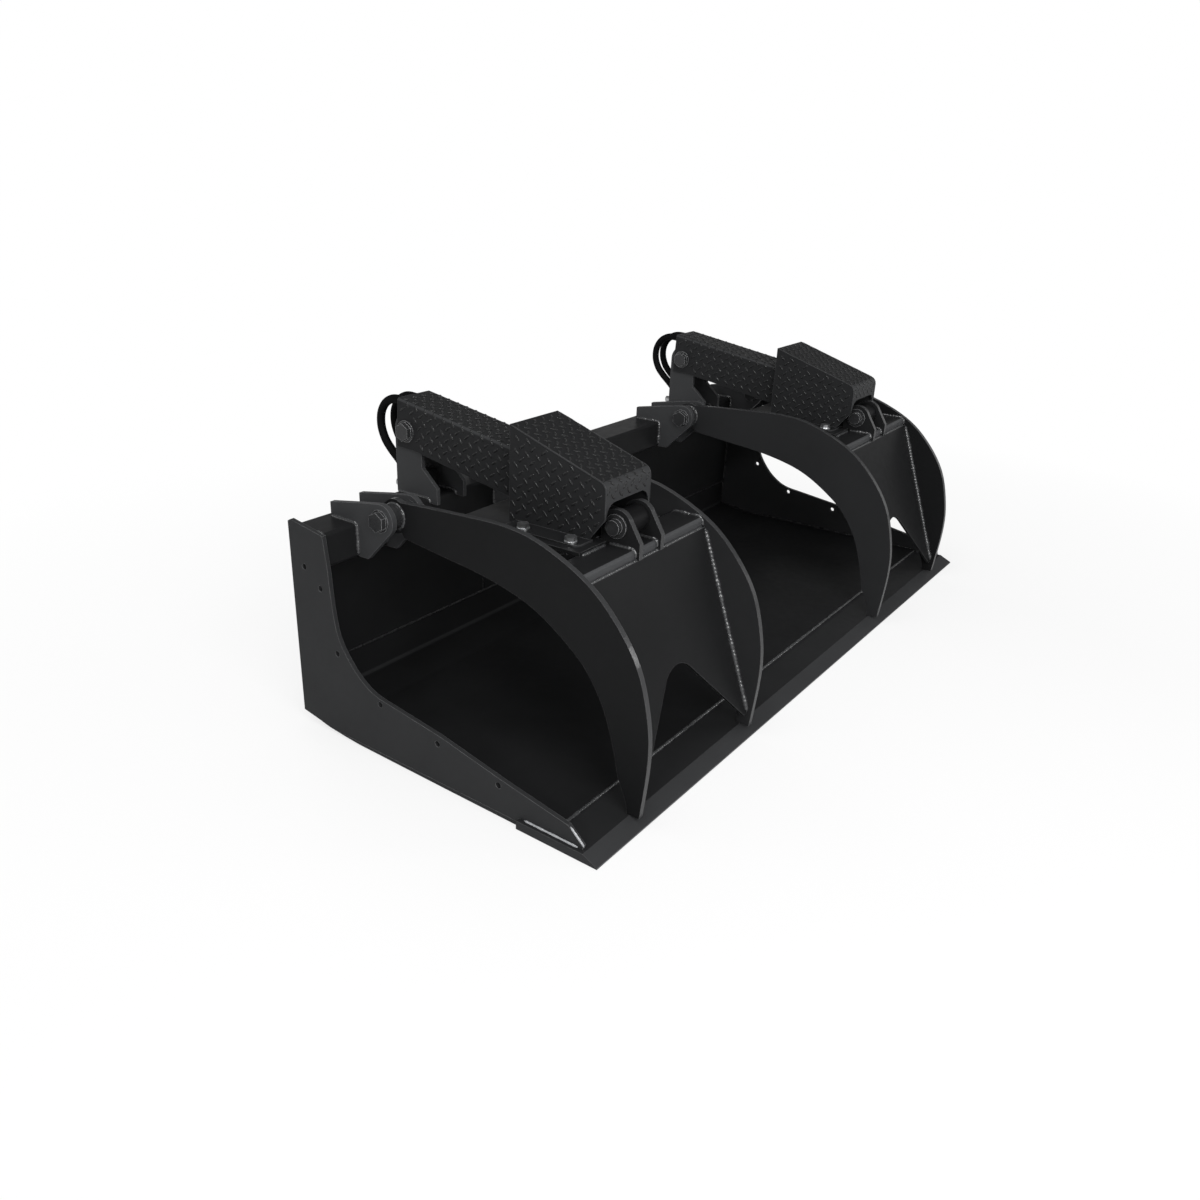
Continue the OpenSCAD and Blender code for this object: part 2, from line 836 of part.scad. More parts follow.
module hood_bolts(side) {
    under = cross_top - foot_nut_h;
    top = cross_top + shelf_t + tread_t;
    color("#8f9295") at_arm(side) foot_bolt_places() {
        upright(under - over, top, foot_bolt_d / 2);
        upright(top, top + washer_t, foot_washer_r);
        translate([0, 0, top + washer_t])
            linear_extrude(foot_bolt_head) polygon(hexagon(foot_bolt_af));
        translate([0, 0, under]) linear_extrude(foot_nut_h) polygon(hexagon(foot_bolt_af));
    }
}

// Cylinder
module barrel(side) {
    color("#1e1f20") at_cylinder(side) difference() {
        union() {
            across(-eye_w / 2, eye_w, eye_r);
            forward(cap_from, cap_l, barrel_od / 2);
            forward(cap_from + cap_l - over, gland_reach - gland_l - cap_from - cap_l + over,
                    barrel_od / 2);
        }
        forward(cap_from + cap_l, gland_reach, bore_r);
        across(-eye_w, 2 * eye_w, pin_r + run);
    }
}

module gland(side) {
    color("#2a2c2e") at_cylinder(side) difference() {
        union() {
            forward(gland_reach - gland_l, gland_l, barrel_od / 2);
            forward(gland_reach - gland_l - gland_plug_l, gland_plug_l + over, bore_r - seat);
        }
        forward(gland_reach - gland_l - gland_plug_l - over,
                gland_l + gland_plug_l + 2 * over, rod_d / 2 + gland_bore_gap);
    }
}

piston_front = gland_reach - gland_l - gland_plug_l - piston_room;

module rod(side) {
    color("#c6c9cc") at_cylinder(side) difference() {
        union() {
            forward(piston_front - piston_l - wall_end, closed_l - piston_front
                    + piston_l + wall_end - rod_eye_r + over, rod_d / 2);
            translate([0, -closed_l, 0]) across(-eye_w / 2, eye_w, rod_eye_r);
        }
        translate([0, -closed_l, 0]) across(-eye_w, 2 * eye_w, pin_r + run);
    }
}

module piston(side) {
    color("#9a9da0") at_cylinder(side) difference() {
        forward(piston_front - piston_l, piston_l, bore_r - piston_gap);
        forward(piston_front - piston_l - over, piston_l + 2 * over, rod_d / 2 + seat);
    }
}

// Guard: a channel open below, on two straps that sit on the barrel
module channel(half, top, low, r) {
    translate([-half, low]) square([2 * half, top - low - r]);
    translate([-half + r, low]) square([2 * half - 2 * r, top - low]);
    for (x = [-half + r, half - r])
        translate([x, top - r]) circle(r = r, $fn = round_fn);
}

module guard_side_outline() {
    polygon([
        [guard_rear_top, guard_rise + over], [guard_rear_low, -guard_heel_drop],
        [-guard_heel_y, -guard_drop], [-guard_l, -guard_drop], [-guard_l, guard_rise + over]
    ]);
}

module guard(side) {
    inner = guard_half - tread_t;
    color("#26282a") at_cylinder(side) difference() {
        union() {
            intersection() {
                translate([0, guard_rear_top, 0]) rotate([90, 0, 0])
                    linear_extrude(guard_l + guard_rear_top) difference() {
                        channel(guard_half, guard_rise, -guard_heel_drop - over, guard_bend_r);
                        channel(inner, guard_rise - tread_t, -guard_heel_drop - 2 * over,
                                guard_bend_r - tread_t);
                    }
                middle_x(2 * guard_half) guard_side_outline();
            }
            for (from = strap_from) difference() {
                translate([-inner, -from - strap_t, 0])
                    cube([2 * inner, strap_t, guard_rise - tread_t]);
                forward(from - over, strap_t + 2 * over, barrel_od / 2 + seat);
                for (k = [-1, 1]) translate([k * port_x, 0, port_z])
                    forward(from - over, strap_t + 2 * over, pipe_r + over);
            }
        }
        across(-guard_half - over, 2 * guard_half + 2 * over, pin_r + run);
    }
}

module port_block(k, from) {
    x = k > 0 ? port_block_in : -port_block_out;
    difference() {
        translate([x, -from - port_block_l, port_block_low])
            cube([port_block_out - port_block_in, port_block_l,
                  port_block_top - port_block_low]);
        forward(from - over, port_block_l + 2 * over, barrel_od / 2 + seat);
    }
}

module ports(side) {
    rod_port = gland_reach - rod_port_back;
    color("#2a2c2e") at_cylinder(side) difference() {
        union() {
            port_block(-1, port_from);
            port_block(1, rod_port);
            for (k = [-1, 1]) translate([k * port_x, 0, port_z]) {
                forward(-ferrule_back, ferrule_l, ferrule_r);
                forward(-ferrule_back + ferrule_l - over,
                        (k > 0 ? rod_port : port_from) + ferrule_back - ferrule_l + 2 * over,
                        pipe_r);
            }
        }
        for (k = [-1, 1]) translate([k * port_x, 0, port_z])
            forward(-ferrule_back - over, ferrule_back + 2 * over, hose_r + ferrule_wall_gap);
    }
}

// Output: everything is shifted so that the frame's origin is under the middle
module placed() {
    translate([0, frame_shift, 0]) children();
}

placed() cutting_edge();
placed() floor_plate();
placed() back_plate();
placed() side_plate(-1);  // left_side_plate
placed() side_plate(1);  // right_side_plate
placed() top_tube();
placed() wear_bars();
placed() coupler_plate();
placed() coupler_ribs();
placed() pivot_ears(-1);  // left_pivot_ears
placed() pivot_ears(1);  // right_pivot_ears
placed() cylinder_bracket(-1);  // left_cylinder_bracket
placed() cylinder_bracket(1);  // right_cylinder_bracket
placed() pivot_pins();
placed() pivot_nuts();
placed() base_pins();
placed() base_nuts();
placed() hose_blocks();
placed() hose_fittings();
placed() hose(-1, 0);  // left_outer_hose
placed() hose(-1, 1);  // left_inner_hose
placed() hose(1, 0);  // right_inner_hose
placed() hose(1, 1);  // right_outer_hose
placed() tine(-1, -1);  // left_outer_tine
placed() tine(-1, 1);  // left_inner_tine
placed() skin(-1);  // left_skin
placed() cross_tube(-1);  // left_cross_tube
placed() rear_bar(-1);  // left_rear_bar
placed() shelf(-1);  // left_shelf
placed() rod_ears(-1);  // left_rod_ears
placed() bushes(-1);  // left_bushes
placed() hood(-1);  // left_hood
placed() hood_bolts(-1);  // left_hood_bolts
placed() rod_pin_piece(-1);  // left_rod_pin
placed() rod_nut(-1);  // left_rod_nut
placed() barrel(-1);  // left_barrel
placed() gland(-1);  // left_gland
placed() guard(-1);  // left_guard
placed() ports(-1);  // left_ports
placed() rod(-1);  // left_rod
placed() piston(-1);  // left_piston
placed() tine(1, 1);  // right_outer_tine
placed() tine(1, -1);  // right_inner_tine
placed() skin(1);  // right_skin
placed() cross_tube(1);  // right_cross_tube
placed() rear_bar(1);  // right_rear_bar
placed() shelf(1);  // right_shelf
placed() rod_ears(1);  // right_rod_ears
placed() bushes(1);  // right_bushes
placed() hood(1);  // right_hood
placed() hood_bolts(1);  // right_hood_bolts
placed() rod_pin_piece(1);  // right_rod_pin
placed() rod_nut(1);  // right_rod_nut
placed() barrel(1);  // right_barrel
placed() gland(1);  // right_gland
placed() guard(1);  // right_guard
placed() ports(1);  // right_ports
placed() rod(1);  // right_rod
placed() piston(1);  // right_piston
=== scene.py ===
import json
import math
import random

import bpy
from mathutils import Matrix, Vector, noise


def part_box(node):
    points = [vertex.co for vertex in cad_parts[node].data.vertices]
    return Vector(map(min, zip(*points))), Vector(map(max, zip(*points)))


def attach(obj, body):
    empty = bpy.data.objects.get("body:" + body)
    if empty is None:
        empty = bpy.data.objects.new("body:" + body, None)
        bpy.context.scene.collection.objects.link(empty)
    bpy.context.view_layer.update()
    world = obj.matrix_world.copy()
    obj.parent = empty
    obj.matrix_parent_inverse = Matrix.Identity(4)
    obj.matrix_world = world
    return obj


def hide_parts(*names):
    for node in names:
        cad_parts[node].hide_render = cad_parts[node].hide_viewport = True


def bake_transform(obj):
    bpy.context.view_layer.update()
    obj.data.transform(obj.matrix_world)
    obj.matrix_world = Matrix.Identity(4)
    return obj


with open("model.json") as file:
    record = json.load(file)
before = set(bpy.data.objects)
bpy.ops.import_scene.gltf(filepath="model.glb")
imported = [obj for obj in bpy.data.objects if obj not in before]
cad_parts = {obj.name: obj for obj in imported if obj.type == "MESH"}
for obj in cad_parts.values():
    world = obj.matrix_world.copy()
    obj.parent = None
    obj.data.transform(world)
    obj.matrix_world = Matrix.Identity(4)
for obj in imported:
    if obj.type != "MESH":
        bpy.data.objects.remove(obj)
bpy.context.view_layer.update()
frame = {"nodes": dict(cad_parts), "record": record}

MM = 0.001
nodes = frame["nodes"]
chance = random.Random(7)

# Sizes of the bucket that the looks build on, in millimetres as in the part
DEPTH = 820.0
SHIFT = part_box("cutting_edge")[0][1] + DEPTH * MM
TUBE_TOP, TUBE_DEPTH, TUBE_LOW, TUBE_ROUND = 469.0, 102.0, 393.0, 8.0
INNER_HALF, SIDE_THICK = 970.5, 10.0
BACK_FACE, HEEL_TOP = -6.4, 123.0
FLOOR_TOP, FLOOR_FRONT, EDGE_TOP = 25.4, -709.0, 19.5
ARM_X, TINE_PITCH, TINE_THICK = 606.0, 449.0, 12.7
EAR_GAP, EAR_REAR = 71.0, -22.0
BRACKET_OUT, BRACKET_THICK = 44.4, 10.0
BLOCK_HALF, BLOCK_FRONT = 35.0, -48.0
ROD_EAR_OUT, ROD_EAR_THICK, ROD_EAR_REAR = 39.5, 12.0, -590.0
COLLAR_RADIUS = 28.0
PIVOT, BASE_PIN, ROD_PIN = (-175.0, 490.0), (-38.0, 616.0), (-604.966, 515.0)
CYLINDER_ANGLE = math.atan2(BASE_PIN[1] - ROD_PIN[1], BASE_PIN[0] - ROD_PIN[0])
CROSS_FRONT, CROSS_SIDE, CROSS_TOP = -652.966, 76.0, 476.0
SKIN_TOP, SKIN_FOOT = 454.0, (-802.78, 47.838)
TINE_INNER = TINE_PITCH / 2 - TINE_THICK / 2
SIDES = {"left": -1, "right": 1}


def at(x, y, z):
    """A place in the part's millimetres as a place in the frame."""
    return Vector((x * MM, y * MM + SHIFT, z * MM))


# Shader groups


def new_group(name, inputs, outputs):
    group = bpy.data.node_groups.new(name, "ShaderNodeTree")
    for label, kind, value in inputs:
        socket = group.interface.new_socket(label, in_out="INPUT", socket_type=kind)
        if value is not None:
            socket.default_value = value
    for label, kind in outputs:
        group.interface.new_socket(label, in_out="OUTPUT", socket_type=kind)
    tree = group.nodes
    return group, tree.new("NodeGroupInput"), tree.new("NodeGroupOutput")


def add(group, kind, **values):
    """A node with its attributes set by name and its sockets by s_NAME."""
    made = group.nodes.new(kind)
    for key, value in values.items():
        if key.startswith("s_"):
            made.inputs[key[2:].replace("_", " ")].default_value = value
        else:
            setattr(made, key, value)
    return made


def maths(group, operation, a, b=None, clamp=False):
    """The result of a sum on numbers or sockets."""
    made = group.nodes.new("ShaderNodeMath")
    made.operation = operation
    made.use_clamp = clamp
    for socket, value in zip(made.inputs, (a, b)):
        if value is None:
            continue
        if isinstance(value, (int, float)):
            socket.default_value = value
        else:
            group.links.new(value, socket)
    return made.outputs[0]


def blended(group, factor, a, b):
    """Colour a where factor is 0 and colour b where it is 1."""
    made = group.nodes.new("ShaderNodeMix")
    made.data_type = "RGBA"
    for socket, value in ((made.inputs[0], factor), (made.inputs[6], a), (made.inputs[7], b)):
        if isinstance(value, (int, float, tuple)):
            socket.default_value = value
        else:
            group.links.new(value, socket)
    return made.outputs[2]


PATCH_SCALE, GRIME_SCALE, PEEL_SCALE = 5.5, 42.0, 420.0
EDGE_WIDTH, PEEL_DEPTH = 1.6 * MM, 0.15 * MM
EDGE_GAIN, GRIME_GAIN, GLOSS_SPREAD = 5.0, 1.6, 0.22


def sprayed_paint_group():
    """Sprayed paint: soft patches, fine orange peel, and lighter edges that are partly rubbed paint
    and partly a painted highlight.
    """
    group, given, result = new_group(
        "sprayed_paint",
        [("Colour", "NodeSocketColor", (0.02, 0.02, 0.02, 1)),
         ("Rubbed", "NodeSocketColor", (0.1, 0.1, 0.1, 1)),
         ("Roughness", "NodeSocketFloat", 0.4),
         ("Patches", "NodeSocketFloat", 0.25),
         ("Peel", "NodeSocketFloat", 0.2),
         ("Wear", "NodeSocketFloat", 0.5)],
        [("Colour", "NodeSocketColor"), ("Roughness", "NodeSocketFloat"),
         ("Normal", "NodeSocketVector")])
    link = group.links.new
    place = add(group, "ShaderNodeTexCoord")
    cloud = add(group, "ShaderNodeTexNoise", s_Scale=PATCH_SCALE, s_Detail=4.0, s_Roughness=0.55)
    grime = add(group, "ShaderNodeTexNoise", s_Scale=GRIME_SCALE, s_Detail=5.0, s_Roughness=0.6)
    peel = add(group, "ShaderNodeTexNoise", s_Scale=PEEL_SCALE, s_Detail=2.0)
    for texture in (cloud, grime, peel):
        link(place.outputs["Object"], texture.inputs["Vector"])
    round_edge = add(group, "ShaderNodeBevel", samples=4, s_Radius=EDGE_WIDTH)
    facing = add(group, "ShaderNodeNewGeometry")
    dot = add(group, "ShaderNodeVectorMath", operation="DOT_PRODUCT")
    link(round_edge.outputs[0], dot.inputs[0])
    link(facing.outputs["Normal"], dot.inputs[1])
    turned = maths(group, "SUBTRACT", 1.0, dot.outputs["Value"])
    edge = maths(group, "MULTIPLY", turned, EDGE_GAIN, True)
    rubs = maths(group, "MULTIPLY", grime.outputs[0], GRIME_GAIN)
    broken = maths(group, "MULTIPLY", edge, rubs, True)
    wear = maths(group, "MULTIPLY", broken, given.outputs["Wear"], True)
    spread = maths(group, "SUBTRACT", cloud.outputs[0], 0.5)
    shade = maths(group, "ADD", 1.0, maths(group, "MULTIPLY", spread, given.outputs["Patches"]))
    tinted = add(group, "ShaderNodeVectorMath", operation="SCALE")
    link(given.outputs["Colour"], tinted.inputs[0])
    link(shade, tinted.inputs["Scale"])
    # The edge colour stands for rubbed paint and also paints the highlights that sharp edges catch.
    link(blended(group, wear, tinted.outputs[0], given.outputs["Rubbed"]), result.inputs["Colour"])
    dull = maths(group, "MULTIPLY", maths(group, "SUBTRACT", grime.outputs[0], 0.5), GLOSS_SPREAD)
    link(maths(group, "ADD", given.outputs["Roughness"], dull, True), result.inputs["Roughness"])
    bump = add(group, "ShaderNodeBump", s_Distance=PEEL_DEPTH)
    link(given.outputs["Peel"], bump.inputs["Strength"])
    link(peel.outputs[0], bump.inputs["Height"])
    link(round_edge.outputs[0], bump.inputs["Normal"])
    link(bump.outputs[0], result.inputs["Normal"])
    return group


PAINT = sprayed_paint_group()


def places(tree):
    """The object's place and face direction, each split into X, Y and Z."""
    given = add(tree, "ShaderNodeTexCoord")
    spot, way = (add(tree, "ShaderNodeSeparateXYZ") for _ in range(2))
    tree.links.new(given.outputs["Object"], spot.inputs[0])
    tree.links.new(given.outputs["Normal"], way.inputs[0])
    return spot.outputs, way.outputs


def band(tree, value, middle, half):
    """1 where value lies within half of middle."""
    off = maths(tree, "ABSOLUTE", maths(tree, "SUBTRACT", value, middle))
    return maths(tree, "LESS_THAN", off, half)


# Which faces a paint finds: SLACK widens a plate's half thickness so that its faces are in it
SLACK = 0.3
# Least or greatest share of a face's direction that turns it forward or sideways
FORWARD, STRAIGHT_FORWARD, LEAN_FORWARD = -0.55, -0.9, -0.3
FLAT_ON, SIDEWAYS = 0.6, 0.96
# Middle and half width of the directions that a sloping or bent face takes
BEVEL_WAY, HEEL_WAY, CORNER_WAY = (-0.46, 0.2), (-0.62, 0.33), (0.66, 0.30)


def all_of(tree, first, *others):
    """1 where every mask is 1."""
    found = first
    for mask in others:
        found = maths(tree, "MULTIPLY", found, mask)
    return found


def sideways(tree, share):
    """A share of a place or direction along X, on either side alike."""
    return maths(tree, "ABSOLUTE", share)


def worn_and_lit_cut_faces(tree):
    """The cut edges of the tines and of the rod ears above their tube, painted lighter: partly
    rubbed paint, partly a painted highlight.
    """
    spot, way = places(tree)
    out = sideways(tree, spot[0])
    tines = ears = 0.0
    for k in (-1, 1):
        tine = ARM_X + k * TINE_PITCH / 2
        ear = ARM_X + k * ROD_EAR_OUT
        tines = maths(tree, "MAXIMUM", tines,
                      band(tree, out, tine * MM, (TINE_THICK / 2 + SLACK) * MM))
        ears = maths(tree, "MAXIMUM", ears,
                     band(tree, out, ear * MM, (ROD_EAR_THICK / 2 + SLACK) * MM))
    above = maths(tree, "GREATER_THAN", spot[2], (CROSS_TOP + 1) * MM)
    ahead = maths(tree, "LESS_THAN", spot[1], at(0, CROSS_FRONT - 0.5, 0)[1])
    over_skin = maths(tree, "GREATER_THAN", spot[2], (SKIN_TOP + 1) * MM)
    proud = maths(tree, "MAXIMUM", above, all_of(tree, ahead, over_skin))
    front = maths(tree, "LESS_THAN", spot[1], at(0, ROD_EAR_REAR + 30, 0)[1])
    off_tube = maths(tree, "LESS_THAN", spot[1], at(0, -TUBE_DEPTH - 8, 0)[1])
    cut = maths(tree, "LESS_THAN", sideways(tree, way[0]), FLAT_ON)
    found = maths(tree, "MAXIMUM", all_of(tree, tines, off_tube),
                  all_of(tree, ears, proud, front))
    return all_of(tree, found, cut)


def tube_corner_highlight(tree):
    """The cross tube's rounded front corner, between the rod ears and the tines, painted lighter as
    the highlight it catches.
    """
    spot, way = places(tree)
    out = band(tree, sideways(tree, spot[0]), ARM_X * MM, (TINE_INNER + 1) * MM)
    ahead = maths(tree, "LESS_THAN", spot[1], at(0, CROSS_FRONT + 5, 0)[1])
    high = maths(tree, "GREATER_THAN", spot[2], (SKIN_TOP + 1) * MM)
    return all_of(tree, out, ahead, high, maths(tree, "LESS_THAN", way[1], LEAN_FORWARD))


def tine_faces(tree, place):
    """The flat faces of the tines at place along X, in millimetres."""
    spot, way = places(tree)
    out = band(tree, sideways(tree, spot[0]), place * MM, (TINE_THICK / 2 + SLACK) * MM)
    return all_of(tree, out, maths(tree, "GREATER_THAN", sideways(tree, way[0]), FLAT_ON))


# The inner tines' flat faces, painted lighter to lift the shade between the tines.
def lightened_inner_tines(tree):
    return tine_faces(tree, ARM_X - TINE_PITCH / 2)


# The outer tines' flat faces, painted darker as shade against the direct light they get.
def darkened_outer_tines(tree):
    return tine_faces(tree, ARM_X + TINE_PITCH / 2)


def lit_front_faces(tree):
    """Faces turned to the front, painted lighter as lit."""
    return maths(tree, "LESS_THAN", places(tree)[1][1], FORWARD)


def nose_highlight(tree):
    """The cutting edge's thin upright front, painted light as a highlight line along it."""
    return maths(tree, "LESS_THAN", places(tree)[1][1], STRAIGHT_FORWARD)


def lit_side_faces(tree):
    """Faces turned to either side, painted lighter as lit from the side."""
    return maths(tree, "GREATER_THAN", sideways(tree, places(tree)[1][0]), SIDEWAYS)


def lit_bevel_face(tree):
    """A face that slopes down to the front, painted lighter as lit."""
    way = places(tree)[1]
    return all_of(tree, band(tree, way[1], *BEVEL_WAY), maths(tree, "GREATER_THAN", way[2], 0.0))


def heel_bend_highlight(tree):
    """The tight bend between the floor and the back, painted lighter as the highlight it catches.
    """
    way = places(tree)[1]
    return all_of(tree, band(tree, way[1], *HEEL_WAY), maths(tree, "GREATER_THAN", way[2], 0.2))


def bend_highlights(tree):
    """Bends that run along the guard's top corners, painted lighter as the highlight they catch."""
    return band(tree, sideways(tree, places(tree)[1][0]), *CORNER_WAY)


def shaded_plates(tree):
    """The plates at the bucket's ends and the inner faces of the cylinder brackets."""
    out = sideways(tree, places(tree)[0][0])
    ends = maths(tree, "GREATER_THAN", out, (INNER_HALF - 8.5) * MM)
    inside_bracket = BRACKET_OUT - BRACKET_THICK / 2 + 0.6
    return maths(tree, "MAXIMUM", ends, band(tree, out, ARM_X * MM, inside_bracket * MM))


def grey(level):
    """A grey with the paint's faint blue."""
    return (level, level * 1.02, level * 1.06, 1)


def new_material(name):
    """A material with its node tree and its shader."""
    made = bpy.data.materials.new(name)
    made.use_nodes = True
    return made, made.node_tree, made.node_tree.nodes["Principled BSDF"]


def paint(name, colour, rubbed, roughness, specular, patches=0.3, peel=0.25, wear=0.5, coat=0.0,
          faces=()):
    """A black paint: colours are grey levels, and specular sets how much it mirrors.

    faces are rows of a mask, the grey level of what it finds and that paint's clear coat; most of
    these grey levels paint light and shade onto faces by where they lie and which way they face.
    """
    made, tree, shader = new_material(name)
    skin = add(tree, "ShaderNodeGroup", node_tree=PAINT, s_Colour=grey(colour),
               s_Rubbed=(rubbed, rubbed * 1.01, rubbed * 1.03, 1), s_Roughness=roughness,
               s_Patches=patches, s_Peel=peel, s_Wear=wear)
    shader.inputs["Specular IOR Level"].default_value = specular
    shader.inputs["Coat Weight"].default_value = coat
    shader.inputs["Coat Roughness"].default_value = 0.12
    tone = grey(colour)
    for mask, level, gloss in faces:
        found = mask(tree)
        tone = blended(tree, found, tone, grey(level))
        if gloss:
            tree.links.new(maths(tree, "MULTIPLY", found, gloss), shader.inputs["Coat Weight"])
    if faces:
        tree.links.new(tone, skin.inputs["Colour"])
    tree.links.new(skin.outputs["Colour"], shader.inputs["Base Color"])
    tree.links.new(skin.outputs["Roughness"], shader.inputs["Roughness"])
    tree.links.new(skin.outputs["Normal"], shader.inputs["Normal"])
    return made


def metal(name, colour, roughness, streaks):
    """Bare or plated steel with fine turning marks."""
    made, tree, shader = new_material(name)
    place = add(tree, "ShaderNodeTexCoord")
    marks = add(tree, "ShaderNodeTexNoise", s_Scale=streaks, s_Detail=5.0)
    tree.links.new(place.outputs["Object"], marks.inputs["Vector"])
    tone = add(tree, "ShaderNodeMapRange", s_To_Min=roughness * 0.7, s_To_Max=roughness * 1.4)
    tree.links.new(marks.outputs[0], tone.inputs["Value"])
    tree.links.new(tone.outputs[0], shader.inputs["Roughness"])
    bump = add(tree, "ShaderNodeBump", s_Strength=0.15, s_Distance=0.1 * MM)
    tree.links.new(marks.outputs[0], bump.inputs["Height"])
    tree.links.new(bump.outputs[0], shader.inputs["Normal"])
    shader.inputs["Base Color"].default_value = (*colour, 1)
    shader.inputs["Metallic"].default_value = 1.0
    return made


def hose_rubber():
    """Matt black rubber with a faint wrapped weave."""
    made, tree, shader = new_material("hose_rubber")
    place = add(tree, "ShaderNodeTexCoord")
    weave = add(tree, "ShaderNodeTexWave", s_Scale=120.0, s_Distortion=1.5)
    tree.links.new(place.outputs["Object"], weave.inputs["Vector"])
    bump = add(tree, "ShaderNodeBump", s_Strength=0.2, s_Distance=0.3 * MM)
    tree.links.new(weave.outputs["Fac"], bump.inputs["Height"])
    tree.links.new(bump.outputs[0], shader.inputs["Normal"])
    shader.inputs["Base Color"].default_value = (0.003, 0.003, 0.0034, 1)
    shader.inputs["Roughness"].default_value = 0.6
    shader.inputs["Specular IOR Level"].default_value = 0.1
    return made


CHROME, CHROME_ROUGHNESS = (0.78, 0.79, 0.80), 0.10
EYE_BLACK, EYE_ROUGHNESS, EYE_REACH = (0.008, 0.008, 0.0085), 0.38, 46.0


def painted_rod():
    """Chrome up to the eye, which is black like the barrel."""
    made = metal("rod_chrome", CHROME, CHROME_ROUGHNESS, 60.0)
    tree = made.node_tree
    shader = tree.nodes["Principled BSDF"]
    spot = places(tree)[0]
    eye = at(0, *ROD_PIN)
    across = [maths(tree, "SUBTRACT", spot[i], eye[i]) for i in (1, 2)]
    squares = [maths(tree, "MULTIPLY", a, a) for a in across]
    reach = maths(tree, "SQRT", maths(tree, "ADD", *squares))
    past_eye = maths(tree, "SUBTRACT", reach, EYE_REACH * MM)
    shaft = maths(tree, "MULTIPLY", past_eye, 1500.0, True)
    tree.links.new(shaft, shader.inputs["Metallic"])
    tree.links.new(blended(tree, shaft, (*EYE_BLACK, 1), (*CHROME, 1)), shader.inputs["Base Color"])
    gloss = maths(tree, "MULTIPLY", shaft, EYE_ROUGHNESS - CHROME_ROUGHNESS)
    tree.links.new(maths(tree, "SUBTRACT", EYE_ROUGHNESS, gloss), shader.inputs["Roughness"])
    shader.inputs["Specular IOR Level"].default_value = 0.08
    return made


MATERIALS = {
    "edge_paint": paint("edge_paint", 0.0195, 0.12, 0.36, 0.06, wear=0.9,
                        faces=[(lit_bevel_face, 0.038, 0), (lit_side_faces, 0.033, 0),
                               (nose_highlight, 0.110, 0)]),
    "inner_paint": paint("inner_paint", 0.0130, 0.05, 0.40, 0.04, patches=0.6, wear=0.4,
                         faces=[(heel_bend_highlight, 0.021, 0)]),
    "bracket_paint": paint("bracket_paint", 0.046, 0.22, 0.46, 0.10, wear=0.9,
                           faces=[(shaded_plates, 0.029, 0)]),
    "frame_paint": paint("frame_paint", 0.0145, 0.14, 0.34, 0.06, wear=1.0,
                         faces=[(lightened_inner_tines, 0.0235, 0), (darkened_outer_tines, 0.0112, 0),
                                (tube_corner_highlight, 0.062, 0), (worn_and_lit_cut_faces, 0.034, 1.0)]),
    "tread_paint": paint("tread_paint", 0.0160, 0.14, 0.34, 0.08, wear=1.0,
                         faces=[(lit_front_faces, 0.038, 0), (lit_side_faces, 0.0205, 0),
                                (bend_highlights, 0.038, 0)]),
    "lug_paint": paint("lug_paint", 0.0160, 0.14, 0.20, 0.50, peel=0.1, wear=0.3),
    # The hood's corner lines: a lighter grey paints the highlight along them.
    "corner_highlight_paint": paint("corner_highlight_paint", 0.036, 0.12, 0.32, 0.25, peel=0.5, wear=0.4),
    "cylinder_paint": paint("cylinder_paint", 0.005, 0.03, 0.32, 0.10),
    # Pins: strongly lighter rubbed edges stand for worn paint and also paint the glints on the
    # heads.
    "pin_paint": paint("pin_paint", 0.026, 0.50, 0.22, 0.6, peel=1.0, wear=1.0, coat=0.3),
    # Beads: a lighter grey than the frame paints highlights along them.
    "weld_paint": paint("weld_paint", 0.048, 0.20, 0.20, 1.0, peel=0.7, wear=0.4, coat=0.5),
    # The side plates' front beads: near white, a painted highlight.
    "highlight_weld": paint("highlight_weld", 0.40, 0.70, 0.25, 0.9, peel=0.4, wear=0.4, coat=0.6),
    # Beads inside the bucket: darker, painted shade.
    "shaded_inner_weld": paint("shaded_inner_weld", 0.017, 0.08, 0.28, 0.4, peel=0.6, wear=0.4),
    "hose_rubber": hose_rubber(),
    "rod_chrome": painted_rod(),
    "machined_steel": metal("machined_steel", (0.42, 0.43, 0.44), 0.32, 200.0),
    "zinc_steel": metal("zinc_steel", (0.86, 0.87, 0.88), 0.30, 120.0),
}
SLOTS = {"weld_paint": "frame_paint", "highlight_weld": "frame_paint", "shaded_inner_weld": "inner_paint",
         "lug_paint": "tread_paint", "corner_highlight_paint": "tread_paint"}


def dress_frame():
    """Gives every CAD node the material of its slot."""
    for row in frame["record"]["subparts"]:
        part = nodes[row["node"]]
        part.data.materials.clear()
        part.data.materials.append(MATERIALS[row["material_slot"]])


dress_frame()


# Mesh making


